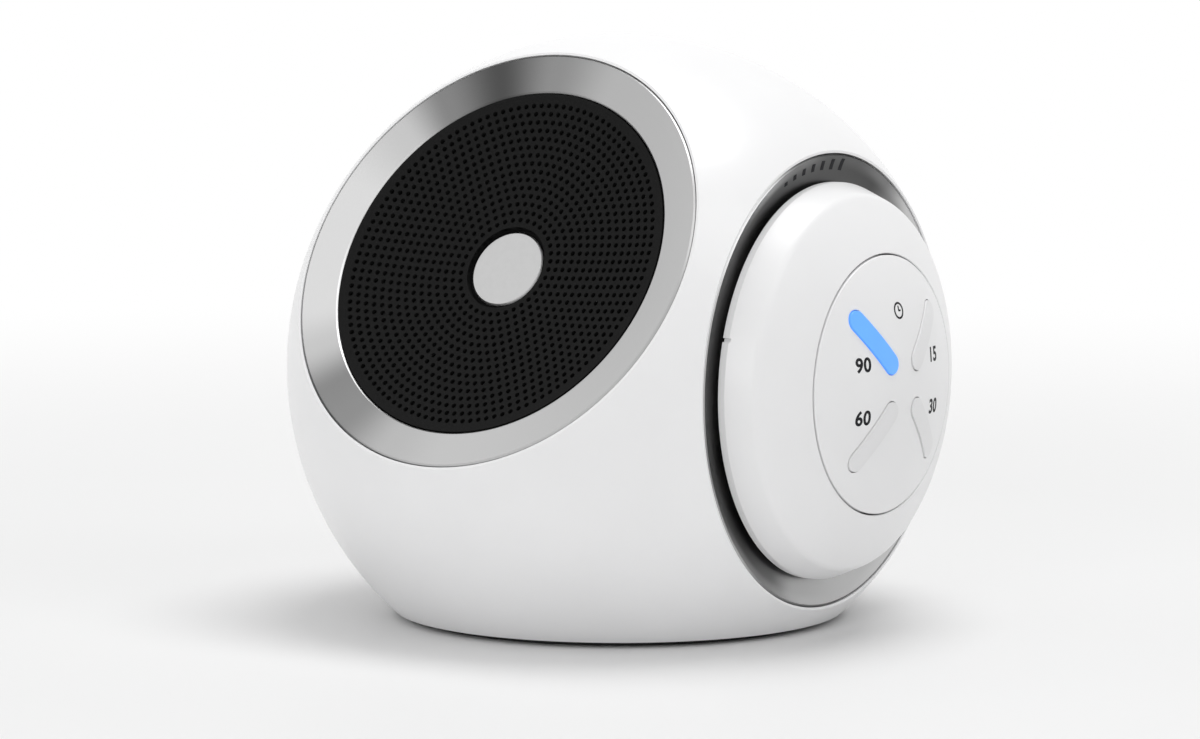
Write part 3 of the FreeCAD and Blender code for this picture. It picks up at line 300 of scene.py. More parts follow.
def piece_from(mesh, name, place, body, slot, finish, *replaced):
    bmesh.ops.transform(mesh, matrix=place, verts=mesh.verts)
    soften(mesh)
    data = bpy.data.meshes.new(name)
    mesh.to_mesh(data)
    mesh.free()
    data.materials.append(finish_for(finish))
    piece = bpy.data.objects.new(name, data)
    bpy.context.scene.collection.objects.link(piece)
    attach(piece, body)
    if replaced:
        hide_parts(*replaced)


def dress(finishes):
    for node, finish in finishes.items():
        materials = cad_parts[node].data.materials
        materials.clear()
        materials.append(finish_for(finish))


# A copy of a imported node, its loose triangles joined so that round faces shade smoothly
def smooth_copy(node, name, slot, finish):
    mesh = bmesh.new()
    mesh.from_mesh(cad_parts[node].data)
    bmesh.ops.remove_doubles(mesh, verts=mesh.verts, dist=2e-6)
    piece_from(mesh, name, FLAT_PLACE, "housing", slot, finish, node)


def joined(meshes):
    data = bpy.data.meshes.new("joined")
    whole = bmesh.new()
    for mesh in meshes:
        mesh.to_mesh(data)
        mesh.free()
        whole.from_mesh(data)
    bpy.data.meshes.remove(data)
    return whole


def carved(mesh, cutters):
    target = bpy.data.objects.new("carved", bpy.data.meshes.new("carved"))
    tool = bpy.data.objects.new("cutter", bpy.data.meshes.new("cutter"))
    mesh.to_mesh(target.data)
    mesh.free()
    cutters.to_mesh(tool.data)
    cutters.free()
    for item in (target, tool):
        bpy.context.scene.collection.objects.link(item)
    carving = target.modifiers.new("carving", "BOOLEAN")
    carving.operation = "DIFFERENCE"
    carving.solver = "EXACT"
    carving.object = tool
    bpy.context.view_layer.update()
    depsgraph = bpy.context.evaluated_depsgraph_get()
    data = bpy.data.meshes.new_from_object(target.evaluated_get(depsgraph))
    result = bmesh.new()
    result.from_mesh(data)
    for item in (target, tool):
        spare = item.data
        bpy.data.objects.remove(item)
        bpy.data.meshes.remove(spare)
    bpy.data.meshes.remove(data)
    return result


# Materials

def scaled(colour, share):
    return tuple(channel * share for channel in colour)


class Tree:
    def __init__(self, owner):
        owner.use_nodes = True
        self.nodes = owner.node_tree.nodes
        self.links = owner.node_tree.links

    # Sockets take plain values or other nodes' outputs
    def wire(self, node, sockets):
        for socket, value in sockets.items():
            if isinstance(value, bpy.types.NodeSocket):
                self.links.new(value, node.inputs[socket])
            else:
                node.inputs[socket].default_value = value

    def new(self, kind, sockets, **settings):
        node = self.nodes.new(kind)
        for key, value in settings.items():
            setattr(node, key, value)
        self.wire(node, sockets)
        return node

    def math(self, operation, *values):
        node = self.new("ShaderNodeMath", dict(enumerate(values)), operation=operation)
        return node.outputs["Value"]


class Finish(Tree):
    def __init__(self, name, colour, roughness, metallic=0.0, coat=0.0, specular=0.5):
        self.material = bpy.data.materials.new(name)
        super().__init__(self.material)
        self.shader = self.nodes["Principled BSDF"]
        self.wire(self.shader, {
            "Base Color": (*colour, 1), "Roughness": roughness, "Metallic": metallic,
            "Coat Weight": coat, "Coat Roughness": 0.12, "Specular IOR Level": specular,
        })
        self.place = self.new("ShaderNodeTexCoord", {}).outputs["Object"]

    def noise(self, scale, detail=3.0, roughness=0.5, coordinates=None):
        return self.new("ShaderNodeTexNoise", {
            "Scale": scale, "Detail": detail, "Roughness": roughness,
            "Vector": self.place if coordinates is None else coordinates,
        }).outputs["Fac"]

    def ramp(self, factor, stops):
        node = self.new("ShaderNodeValToRGB", {"Fac": factor})
        ramp = node.color_ramp
        ramp.interpolation = "EASE"
        while len(ramp.elements) < len(stops):
            ramp.elements.new(1.0)
        for element, (position, value) in zip(ramp.elements, stops):
            element.position = position
            colour = value if isinstance(value, tuple) else (value, value, value)
            element.color = (*colour, 1)
        return node.outputs["Color"]

    def span(self, factor, low, high):
        sockets = {"To Min": low, "To Max": high, "Value": factor}
        return self.new("ShaderNodeMapRange", sockets).outputs["Result"]

    def mix(self, factor, first, second, blend="MIX"):
        sockets = {"Factor": factor, "A": first, "B": second}
        node = self.new("ShaderNodeMix", sockets, data_type="RGBA", blend_type=blend)
        return node.outputs["Result"]

    def paint(self, colour):
        self.wire(self.shader, {"Base Color": colour})

    def rough(self, factor, low, high):
        self.wire(self.shader, {"Roughness": self.span(factor, low, high)})

    def bump(self, height, strength, distance):
        sockets = {"Strength": strength, "Distance": distance, "Height": height}
        node = self.new("ShaderNodeBump", sockets)
        self.wire(self.shader, {"Normal": node.outputs["Normal"]})

    # Coordinates in a face's own frame
    def facing(self, place):
        node = self.new("ShaderNodeMapping", {
            "Location": place.to_translation(), "Rotation": place.to_euler("XYZ"),
            "Vector": self.place,
        }, vector_type="TEXTURE")
        split = self.new("ShaderNodeSeparateXYZ", {"Vector": node.outputs["Vector"]})
        return split.outputs["X"], split.outputs["Y"]

    # Angle round the face as 0 to 1, starting on its right and turning upward
    def around(self, place):
        x, y = self.facing(place)
        turn = self.math("ARCTAN2", y, x)
        return self.math("FRACT", self.math("DIVIDE", turn, 2 * math.pi))

    def reach(self, place):
        x, y = self.facing(place)
        square = self.math("ADD", self.math("MULTIPLY", x, x), self.math("MULTIPLY", y, y))
        return self.math("SQRT", square)


def moulded_plastic(name, colour, roughness, coat):
    finish = Finish(name, colour, roughness, coat=coat)
    shade = finish.noise(38.0, 2.0)
    finish.paint(finish.ramp(shade, [(0.3, scaled(colour, 0.975)), (0.7, colour)]))
    finish.rough(finish.noise(90.0, 4.0), roughness - 0.03, roughness + 0.04)
    finish.bump(finish.noise(2600.0, 2.0), 0.04, 0.00002)
    return finish.material


def tinted(reflection_sectors, colour):
    return [(position, scaled(colour, shade)) for position, shade in reflection_sectors]


# Turned lines round the axis over a painted reflection: light and dark sectors round the axis,
# which may differ between the inner and the outer reach
def spun_metal_painted_reflection(name, colour, place, reflection_sectors, inner_reflection_sectors=(), inner_reach=0.0, outer_reach=1.0):
    finish = Finish(name, colour, 0.3, metallic=1.0)
    around = finish.around(place)
    reach = finish.reach(place)
    # Painted reflection: the light and dark sectors round the axis
    shade = finish.ramp(around, tinted(reflection_sectors, colour))
    # Where given, other painted reflection sectors nearer the axis fade into the outer ones
    if inner_reflection_sectors:
        outward = finish.new("ShaderNodeMapRange", {
            "From Min": inner_reach, "From Max": outer_reach, "Value": reach,
        }, interpolation_type="SMOOTHSTEP").outputs["Result"]
        shade = finish.mix(outward, finish.ramp(around, tinted(inner_reflection_sectors, colour)), shade)
    lines = finish.new("ShaderNodeCombineXYZ", {"X": finish.math("MULTIPLY", reach, 26000.0)})
    fine = finish.noise(1.0, 2.0, 0.6, lines.outputs["Vector"])
    finish.paint(finish.mix(1.0, shade, finish.ramp(fine, [(0.3, 0.93), (0.7, 1.0)]), "MULTIPLY"))
    finish.rough(fine, 0.26, 0.36)
    finish.bump(fine, 0.12, 0.00001)
    return finish.material


def powder_black(name, colour, roughness, specular=0.3):
    finish = Finish(name, colour, roughness, specular=specular)
    speck = finish.noise(5200.0, 3.0, 0.6)
    finish.paint(finish.ramp(speck, [(0.35, colour), (0.75, scaled(colour, 1.7))]))
    finish.rough(speck, roughness - 0.08, roughness + 0.1)
    finish.bump(speck, 0.25, 0.00002)
    return finish.material


def lit_plastic(name, colour):
    finish = Finish(name, colour, 0.35)
    inner = finish.noise(160.0, 2.0)
    shade = finish.ramp(inner, [(0.2, scaled(colour, 0.93)), (0.8, colour)])
    finish.paint(shade)
    finish.wire(finish.shader, {"Emission Color": shade, "Emission Strength": 0.45})
    finish.bump(finish.noise(2400.0), 0.05, 0.00002)
    return finish.material


def printed_ink(name, colour):
    finish = Finish(name, colour, 0.5, specular=0.1)
    patch = finish.noise(1500.0, 3.0)
    finish.paint(finish.ramp(patch, [(0.3, colour), (0.8, scaled(colour, 2.0))]))
    finish.rough(patch, 0.42, 0.6)
    return finish.material


def plain_metal(name, colour, roughness):
    finish = Finish(name, colour, roughness, metallic=1.0)
    wear = finish.noise(900.0, 4.0, 0.6)
    finish.paint(finish.ramp(wear, [(0.3, scaled(colour, 0.97)), (0.7, colour)]))
    finish.rough(wear, roughness - 0.02, roughness + 0.03)
    finish.bump(wear, 0.03, 0.00001)
    return finish.material


def board_lacquer(name, colour):
    finish = Finish(name, colour, 0.3, coat=0.3)
    tracks = finish.new("ShaderNodeTexBrick", {
        "Vector": finish.place, "Scale": 260.0, "Mortar Size": 0.08, "Color1": (*colour, 1),
        "Color2": (*scaled(colour, 0.85), 1), "Mortar": (*scaled(colour, 1.6), 1),
    })
    finish.paint(tracks.outputs["Color"])
    finish.rough(finish.noise(120.0), 0.25, 0.4)
    return finish.material


def soft_rubber(name, colour):
    finish = Finish(name, colour, 0.75, specular=0.3)
    grain = finish.noise(3000.0, 4.0, 0.7)
    finish.paint(finish.ramp(grain, [(0.3, colour), (0.8, scaled(colour, 1.8))]))
    finish.rough(grain, 0.65, 0.85)
    finish.bump(grain, 0.3, 0.00004)
    return finish.material


# Painted reflection: light and dark sectors of the spun faces, as the turned lines catch the
# room; on the ring, darker inner sectors near the knob
BEZEL_REFLECTION_SECTORS = [
    (0.0, 0.44), (0.19, 0.46), (0.25, 0.28), (0.30, 0.085), (0.35, 0.24), (0.39, 0.58),
    (0.45, 0.72), (0.55, 0.72), (0.585, 0.58), (0.625, 0.26), (0.66, 0.28), (0.71, 0.50),
    (0.76, 0.56), (1.0, 0.44),
]
RING_OUTER_REFLECTION_SECTORS = [
    (0.0, 0.58), (0.083, 0.75), (0.125, 0.62), (0.167, 0.22), (0.21, 0.12), (0.25, 0.09),
    (0.285, 0.20), (0.335, 0.70), (0.375, 0.56), (0.42, 0.48), (0.50, 0.42), (0.545, 0.26),
    (0.59, 0.40), (0.625, 0.54), (0.67, 0.40), (0.75, 0.42), (0.84, 0.52), (1.0, 0.58),
]
RING_INNER_REFLECTION_SECTORS = [
    (0.0, 0.58), (0.09, 0.75), (0.14, 0.25), (0.18, 0.08), (0.25, 0.08), (0.29, 0.10),
    (0.335, 0.12), (0.42, 0.34), (0.50, 0.34), (0.56, 0.22), (0.62, 0.10), (0.67, 0.18),
    (0.71, 0.36), (0.80, 0.45), (0.88, 0.52), (1.0, 0.58),
]


# A finish by name, made once
def finish_for(name):
    known = bpy.data.materials.get("finish_" + name)
    if known is not None:
        return known
    scene = bpy.context.scene
    metal = tuple(scene.speaker.metal)
    makers = {
        "shell_white": (moulded_plastic, tuple(scene.shell.white), 0.32, 0.25),
        "knob_white": (moulded_plastic, tuple(scene.dial.knob_white), 0.38, 0.1),
        "bar_white": (moulded_plastic, tuple(scene.timer.unlit), 0.42, 0.05),
        "lit_blue": (lit_plastic, tuple(scene.timer.lit)),
        "light_lens": (moulded_plastic, (0.72, 0.80, 0.95), 0.2, 0.3),
        "black_plastic": (powder_black, (0.02, 0.02, 0.021), 0.5),
        "grille_black": (powder_black, tuple(scene.speaker.black), 0.6, 0.03),
        "ink_black": (printed_ink, tuple(scene.dial.ink)),
        # Both spun finishes carry painted reflection sectors; the ring's is darker near the knob
        "bezel_metal": (spun_metal_painted_reflection, metal, SPEAKER_PLACE, BEZEL_REFLECTION_SECTORS),
        "ring_metal": (spun_metal_painted_reflection, metal, DIAL_PLACE, RING_OUTER_REFLECTION_SECTORS, RING_INNER_REFLECTION_SECTORS,
                       scene.dial.blend_start, scene.dial.blend_end),
        "cap_metal": (plain_metal, tuple(scene.speaker.cap_metal), 0.34),
        "screw_metal": (plain_metal, (0.52, 0.52, 0.53), 0.28),
        "basket_steel": (plain_metal, (0.10, 0.10, 0.105), 0.4),
        "magnet_iron": (plain_metal, (0.12, 0.12, 0.125), 0.6),
        "contact_brass": (plain_metal, (0.60, 0.42, 0.16), 0.3),
        "board_green": (board_lacquer, (0.02, 0.16, 0.06)),
        "foot_rubber": (soft_rubber, (0.02, 0.02, 0.02)),
    }
    maker, *values = makers[name]
    return maker("finish_" + name, *values)


# Shell

def ball_mesh(radius, segments, rings):
    mesh = bmesh.new()
    bmesh.ops.create_uvsphere(mesh, u_segments=segments, v_segments=rings, radius=radius)
    bmesh.ops.transform(mesh, matrix=Matrix.Translation(BALL_CENTRE), verts=mesh.verts)
    return mesh


def cut_beyond(mesh, place, distance):
    normal = place.to_3x3() @ Vector((0, 0, 1))
    point = place @ Vector((0, 0, distance))
    made = bmesh.ops.bisect_plane(
        mesh, geom=mesh.verts[:] + mesh.edges[:] + mesh.faces[:],
        dist=TOUCH, plane_co=point, plane_no=normal, clear_outer=True
    )
    return picked(made["geom_cut"], bmesh.types.BMEdge)


# The open edge is drawn through the steps, each a radius and a height in the face's own frame
def turn_in(mesh, edges, place, steps):
    inverse = place.inverted()
    for reach, height in steps:
        made = bmesh.ops.extrude_edge_only(mesh, edges=edges)["geom"]
        verts = picked(made, bmesh.types.BMVert)
        edges = [edge for edge in picked(made, bmesh.types.BMEdge)
                 if all(vert in verts for vert in edge.verts)]
        for vert in verts:
            local = inverse @ vert.co
            flat = Vector((local.x, local.y, 0)).normalized() * reach
            vert.co = place @ Vector((flat.x, flat.y, height))


def pocket_steps(radius, plane, floor, ledge):
    return [(radius, plane), (radius, floor), (radius - ledge, floor)]


class SHELL_OT_body(bpy.types.Operator):
    """White ball with its speaker, dial, rear and base openings"""
    bl_idname = "sound.body_shell"
    bl_label = "Body shell"

    def execute(self, context):
        shell = context.scene.shell
        mesh = ball_mesh(shell.ball_radius, 256, 160)
        rear_plane = math.sqrt(shell.ball_radius ** 2 - shell.rear_opening ** 2)
        base_plane = BALL_CENTRE.z - shell.shell_bottom
        openings = [
            (SPEAKER_PLACE, shell.speaker_plane, pocket_steps(
                shell.speaker_pocket, shell.speaker_plane, shell.speaker_floor, shell.ledge)),
            (DIAL_PLACE, shell.dial_plane, pocket_steps(
                shell.dial_pocket, shell.dial_plane, shell.dial_floor, shell.ledge)),
            (REAR_PLACE, rear_plane, [
                (shell.rear_opening, rear_plane - shell.wall),
                (shell.rear_opening - shell.ledge, rear_plane - shell.wall)]),
            (BASE_PLACE, base_plane, [
                (shell.base_opening, base_plane),
                (shell.base_opening, base_plane - shell.wall)]),
        ]
        cuts = [cut_beyond(mesh, place, plane) for place, plane, _ in openings]
        for edges, (place, _, steps) in zip(cuts, openings):
            turn_in(mesh, edges, place, steps)
        bmesh.ops.remove_doubles(mesh, verts=mesh.verts, dist=TOUCH)
        bmesh.ops.recalc_face_normals(mesh, faces=mesh.faces)
        piece_from(mesh, "shell_body", FLAT_PLACE, "housing", "white_shell",
                   "shell_white", "body_shell")
        return {"FINISHED"}


class SHELL_OT_rear(bpy.types.Operator):
    """Rear cover with its screw wells and the power inlet"""
    bl_idname = "sound.rear_cover"
    bl_label = "Rear cover and inlet"

    def execute(self, context):
        smooth_copy("rear_cover", "cover_rear", "white_shell", "shell_white")
        smooth_copy("power_inlet", "inlet_socket", "black_plastic", "black_plastic")
        dress({"rear_cover_screws": "screw_metal"})
        return {"FINISHED"}


class SHELL_OT_base(bpy.types.Operator):
    """Base plate, soft foot and screws"""
    bl_idname = "sound.base_plate"
    bl_label = "Base plate and foot"

    def execute(self, context):
        smooth_copy("base_plate", "plate_base", "black_plastic", "black_plastic")
        smooth_copy("base_foot", "foot_base", "foot_rubber", "foot_rubber")
        dress({"base_screws": "screw_metal"})
        return {"FINISHED"}


# Speaker face

class SPEAKER_OT_bezel(bpy.types.Operator):
    """Dished spun-metal bezel with bevelled edges"""
    bl_idname = "sound.speaker_bezel"
    bl_label = "Speaker bezel"

    def execute(self, context):
        speaker = context.scene.speaker
        floor = context.scene.shell.speaker_floor
        edge = speaker.bezel_edge
        outer = speaker.bezel_radius - edge
        inner = speaker.bezel_inner + edge
        profile = [
            (speaker.bezel_inner, floor),
            (speaker.bezel_radius, floor),
            (speaker.bezel_radius, dish_height(speaker, outer) - edge),
        ]
        profile += [(reach, dish_height(speaker, reach)) for reach in evenly(outer, inner, 6)]
        profile.append((speaker.bezel_inner, dish_height(speaker, inner) - edge))
        mesh = spun(profile, 256)
        # Its finish paints light and dark reflection sectors round the axis
        piece_from(mesh, "bezel_speaker", SPEAKER_PLACE, "housing", "satin_metal",
                   "bezel_metal", "speaker_bezel")
        return {"FINISHED"}


class SPEAKER_OT_grille(bpy.types.Operator):
    """Black dished grille with rings of round holes"""
    bl_idname = "sound.speaker_grille"
    bl_label = "Speaker grille"

    def execute(self, context):
        speaker = context.scene.speaker
        cup = speaker.cap_radius + speaker.cap_groove
        rim = speaker.grille_radius - speaker.grille_rim
        circles = [(rim, 0.0, 0.0, 240), (cup, 0.0, 0.0, 96)]
        for ring in range(speaker.first_ring, speaker.last_ring + 1):
            count = 6 * ring
            reach = speaker.hole_pitch * ring
            for index in range(count):
                turn = 2 * math.pi * index / count
                x, y = reach * math.cos(turn), reach * math.sin(turn)
                circles.append((speaker.hole_radius, x, y, 12))
        mesh = bmesh.new()
        for radius, x, y, segments in circles:
            bmesh.ops.create_circle(
                mesh, segments=segments, radius=radius, cap_ends=False,
                matrix=Matrix.Translation((x, y, 0))
            )
        bmesh.ops.triangle_fill(mesh, edges=mesh.edges[:], use_beauty=True, use_dissolve=False)
        for face in mesh.faces:
            if face.normal.z < 0:
                face.normal_flip()
        thicken(mesh, -speaker.grille_thickness)
        for vert in mesh.verts:
            vert.co.z += dish_height(speaker, vert.co.xy.length)
        bmesh.ops.recalc_face_normals(mesh, faces=mesh.faces)
        floor = speaker.cap_top - speaker.cap_thickness
        back = floor - speaker.grille_thickness
        top = dish_height(speaker, cup)
        lip = cup + speaker.cap_lip
        cup_mesh = spun([
            (0, floor), (cup, floor), (cup, top - 0.01 * MM), (lip, top - 0.1 * MM),
            (lip, back), (0, back),
        ], 96, closed=False)
        edge = speaker.grille_radius
        seam = rim - 0.02 * MM
        rim_mesh = spun([
            (seam, dish_height(speaker, rim)), (seam, speaker.grille_step),
            (edge, speaker.grille_step), (edge, dish_height(speaker, edge)),
        ], 240)
        piece_from(joined([mesh, cup_mesh, rim_mesh]), "grille_speaker", SPEAKER_PLACE, "housing",
                   "grille_black", "grille_black", "speaker_grille")
        return {"FINISHED"}


class SPEAKER_OT_cap(bpy.types.Operator):
    """Plain bevelled metal cap in the middle of the grille"""
    bl_idname = "sound.grille_cap"
    bl_label = "Grille cap"

    def execute(self, context):
        speaker = context.scene.speaker
        floor = speaker.cap_top - speaker.cap_thickness
        mesh = spun([
            (0, floor), (speaker.cap_radius, floor),
            (speaker.cap_radius, speaker.cap_top - speaker.cap_edge),
            (speaker.cap_radius - speaker.cap_edge, speaker.cap_top), (0, speaker.cap_top),
        ], 128, closed=False)
        piece_from(mesh, "cap_grille", SPEAKER_PLACE, "housing", "cap_metal",
                   "cap_metal", "grille_cap")
        return {"FINISHED"}


class SPEAKER_OT_driver(bpy.types.Operator):
    """Loudspeaker driver behind the grille"""
    bl_idname = "sound.speaker_driver"
    bl_label = "Loudspeaker driver"

    def execute(self, context):
        dress({
            "speaker_gasket": "foot_rubber", "speaker_surround": "foot_rubber",
            "speaker_frame": "basket_steel", "speaker_cone": "black_plastic",
            "speaker_dust_cap": "black_plastic", "speaker_magnet": "magnet_iron",
            "speaker_screws": "screw_metal",
        })
        return {"FINISHED"}


# Dial face

class DIAL_OT_ring(bpy.types.Operator):
    """Hollow spun-metal ring behind the volume knob"""
    bl_idname = "sound.dial_ring"
    bl_label = "Dial ring"

    def execute(self, context):
        dial = context.scene.dial
        floor = context.scene.shell.dial_floor
        plane = context.scene.shell.dial_plane
        edge = dial.ring_radius - dial.ring_edge
        mesh = spun([
            (dial.ring_inner, floor), (dial.ring_radius, floor),
            (dial.ring_radius, plane - dial.ring_edge), (edge, plane),
            *reversed(RING_CURVE), (dial.ring_inner, dial.ring_back),
        ], 256)
        # Its finish paints light and dark reflection sectors, darker near the knob
        piece_from(mesh, "ring_dial", DIAL_PLACE, "housing", "satin_metal",
                   "ring_metal", "dial_ring")
        return {"FINISHED"}


# The points of an arc that rounds the corner between two lines
def rounded_corner(before, corner, after, radius, steps):
    start = (Vector(before) - Vector(corner)).normalized()
    end = (Vector(after) - Vector(corner)).normalized()
    half = start.angle(end) / 2
    along = radius / math.tan(half)
    centre = Vector(corner) + (start + end).normalized() * radius / math.sin(half)
    first = (Vector(corner) + start * along - centre).normalized()
    last = (Vector(corner) + end * along - centre).normalized()
    return [tuple(centre + first.slerp(last, share) * radius) for share in evenly(0, 1, steps)]


class DIAL_OT_knob(bpy.types.Operator):
    """Domed volume knob with a soft crease and an index notch"""
    bl_idname = "sound.volume_knob"
    bl_label = "Volume knob"

    def execute(self, context):
        dial = context.scene.dial
        crease = (dial.crease_radius, dome_height(dial, dial.crease_radius))
        inward = dial.crease_radius - 3 * MM
        nearby = (inward, dome_height(dial, inward))
        rim = (dial.rim_radius, dial.rim_top)
        back = (dial.rim_radius, dial.rim_back)
        mouth = dial.sleeve_bore + dial.sleeve_edge
        sleeve = dial.sleeve_bore + dial.sleeve_wall
        profile = [
            (dial.sleeve_bore, dial.sleeve_back), (sleeve, dial.sleeve_back),
            (sleeve, dial.sleeve_root), (dial.crease_radius - dial.knob_wall, dial.knob_corner),
            (dial.rim_radius - dial.knob_wall, dial.rim_back), back,
        ]
        profile += rounded_corner(back, rim, crease, dial.rim_round, 4)
        profile += rounded_corner(rim, crease, nearby, dial.crease_round, 14)
        profile += dome_profile(dial, profile[-1][0] - 0.3 * MM, mouth, 14)
        profile.append((dial.sleeve_bore, dome_height(dial, mouth) - 0.12 * MM))
        notch = block(1.0 * MM, 0.7 * MM, 3.0 * MM)
        shift(notch, dial.rim_radius, 0, dial.rim_back)
        swing(notch, dial.index_angle)
        piece_from(carved(spun(profile, 360), notch), "knob_volume", DIAL_PLACE, "volume_knob",
                   "white_knob", "knob_white", "volume_knob")
        return {"FINISHED"}


class DIAL_OT_works(bpy.types.Operator):
    """Carrier, track, contacts, boards, switches and lights inside the dial"""
    bl_idname = "sound.dial_works"
    bl_label = "Dial works"

    def execute(self, context):
        dress({
            "dial_carrier": "black_plastic", "dial_carrier_screws": "screw_metal",
            "volume_track": "board_green", "volume_wiper": "contact_brass",
            "timer_board": "board_green", "timer_switches": "black_plastic",
            "timer_lights": "light_lens", "main_board": "board_green",
            "main_board_parts": "black_plastic", "main_board_screws": "screw_metal",
        })
        return {"FINISHED"}


# Each timer bar's angle round the dial and the quarter that holds its number
BARS = {"15": (45, 1, 1), "30": (-45, 1, -1), "60": (-135, -1, -1), "90": (135, -1, 1)}
LIT_BAR = "90"


# A bar with round ends in the dial's frame, from the low to the high height
def bar_mesh(timer, width, low, high, degrees):
    mesh = bmesh.new()
    bmesh.ops.create_grid(mesh, x_segments=36, y_segments=8, size=1.0)
    half = width / 2
    span = timer.outer_reach - timer.inner_reach + width
    middle = (timer.inner_reach + timer.outer_reach) / 2
    for vert in mesh.verts:
        along = -math.cos((vert.co.x + 1) / 2 * math.pi) * span / 2
        past = max(0.0, abs(along) - (span / 2 - half))
        wide = math.sqrt(max(0.0, half ** 2 - past ** 2))
        vert.co = Vector((along + middle, vert.co.y * wide, low))
    bmesh.ops.remove_doubles(mesh, verts=mesh.verts, dist=TOUCH)
    swing(mesh, math.radians(degrees))
    upper = thicken(mesh, high - low)
    bmesh.ops.recalc_face_normals(mesh, faces=mesh.faces)
    return mesh, upper


class TIMER_OT_disc(bpy.types.Operator):
    """Fixed domed disc with a slot for each timer bar"""
    bl_idname = "sound.timer_disc"
    bl_label = "Timer disc"

    def execute(self, context):
        dial = context.scene.dial
        timer = context.scene.timer
        edge = dial.disc_radius - dial.disc_edge
        skirt = dial.disc_radius - dial.disc_skirt
        top = dial.dome_centre + dial.dome_radius
        profile = [(0, top - dial.disc_thickness)]
        profile += dome_profile(dial, 1 * MM, skirt, 12, dial.disc_thickness)
        profile += [(skirt, dial.disc_back), (dial.disc_radius, dial.disc_back)]
        profile.append((dial.disc_radius, dome_height(dial, dial.disc_radius) - dial.disc_edge))
        profile += dome_profile(dial, edge, 1 * MM, 28)
        profile.append((0, top))
        disc = spun(profile, 192, closed=False)
        bmesh.ops.holes_fill(disc, edges=[edge for edge in disc.edges if edge.is_boundary])
        # The cutters reach from below the disc to above it
        slots = []
        for degrees, _, _ in BARS.values():
            width = timer.width + 2 * timer.gap
            slots.append(bar_mesh(timer, width, 50 * MM, 62 * MM, degrees)[0])
        piece_from(carved(disc, joined(slots)), "disc_timer", DIAL_PLACE, "housing", "white_knob",
                   "knob_white", "timer_disc")
        return {"FINISHED"}


class TIMER_OT_bars(bpy.types.Operator):
    """Four timer bars, one of them lit"""
    bl_idname = "sound.timer_bars"
    bl_label = "Timer bars"

    def execute(self, context):
        dial = context.scene.dial
        timer = context.scene.timer
        radius = dial.dome_radius + timer.proud
        for number, (degrees, _, _) in BARS.items():
            mesh, upper = bar_mesh(timer, timer.width, 0.0, 1.0, degrees)
            for vert in mesh.verts:
                top = dial.dome_centre + math.sqrt(radius ** 2 - vert.co.xy.length ** 2)
                vert.co.z = top if vert.co.z > 0.5 else top - timer.skin
            rims = [edge for edge in mesh.edges if edge.calc_face_angle(0) > 1.0
                    and all(vert in upper for vert in edge.verts)]
            bmesh.ops.bevel(
                mesh, geom=rims, offset=timer.edge, offset_type="OFFSET", segments=3,
                profile=0.5, affect="EDGES", material=-1, clamp_overlap=True
            )
            is_lit = number == LIT_BAR
            button = "timer_button_" + number
            piece_from(mesh, "bar_timer_" + number, DIAL_PLACE, button,
                       "blue_button" if is_lit else "white_button",
                       "lit_blue" if is_lit else "bar_white", button)
        return {"FINISHED"}


# Lays a flat sign on the dome or on the ring, a hair above it
def laid_on(mesh, height_at, lift=0.03 * MM):
    for vert in mesh.verts:
        vert.co.z = height_at(vert.co.xy.length) + (lift if vert.co.z > 0 else -lift)


def number_mesh(text, height, weight):
    curve = bpy.data.curves.new("number", "FONT")
    curve.body = text
    curve.size = height / 0.69
    curve.align_x = "CENTER"
    curve.align_y = "CENTER"
    curve.extrude = MM / 2
    curve.offset = weight
    curve.space_character = 1.06
    curve.resolution_u = 6
    item = bpy.data.objects.new("number", curve)
    bpy.context.scene.collection.objects.link(item)
    bpy.context.view_layer.update()
    depsgraph = bpy.context.evaluated_depsgraph_get()
    data = bpy.data.meshes.new_from_object(item.evaluated_get(depsgraph))
    mesh = bmesh.new()
    mesh.from_mesh(data)
    bpy.data.objects.remove(item)
    bpy.data.curves.remove(curve)
    bpy.data.meshes.remove(data)
    bmesh.ops.remove_doubles(mesh, verts=mesh.verts, dist=TOUCH)
    low = Vector([min(vert.co[axis] for vert in mesh.verts) for axis in range(2)])
    high = Vector([max(vert.co[axis] for vert in mesh.verts) for axis in range(2)])
    shift(mesh, *(-(low + high) / 2))
    bmesh.ops.scale(mesh, vec=(0.98, height / (high.y - low.y), 1), verts=mesh.verts)
    return mesh


def stroke(x, y, width, height, turn=0.0):
    mesh = block(width, height, MM)
    swing(mesh, turn)
    shift(mesh, x, y)
    return mesh


class TIMER_OT_signs(bpy.types.Operator):
    """Printed minutes beside the bars and a plain clock sign"""
    bl_idname = "sound.timer_signs"
    bl_label = "Timer signs"

    def execute(self, context):
        dial = context.scene.dial
        timer = context.scene.timer
        meshes = []
        for number, (_, side, rise) in BARS.items():
            mesh = number_mesh(number, timer.number_height, timer.number_weight)
            shift(mesh, side * timer.number_side, rise * timer.number_rise)
            meshes.append(mesh)
        clock = timer.clock_rise
        outer = timer.clock_radius
        inner = outer - timer.clock_line
        hoop = spun([(inner, -MM / 2), (outer, -MM / 2), (outer, MM / 2), (inner, MM / 2)], 48)
        shift(hoop, 0, clock)
        meshes.append(hoop)
        meshes.append(stroke(0, clock + 0.36 * MM, timer.hand_width, 0.9 * MM))
        meshes.append(stroke(0.28 * MM, clock, 0.66 * MM, timer.hand_width))
        mesh = joined(meshes)
        laid_on(mesh, lambda reach: dome_height(dial, reach))
        piece_from(mesh, "signs_timer", DIAL_PLACE, "housing", "black_plastic", "ink_black")
        return {"FINISHED"}


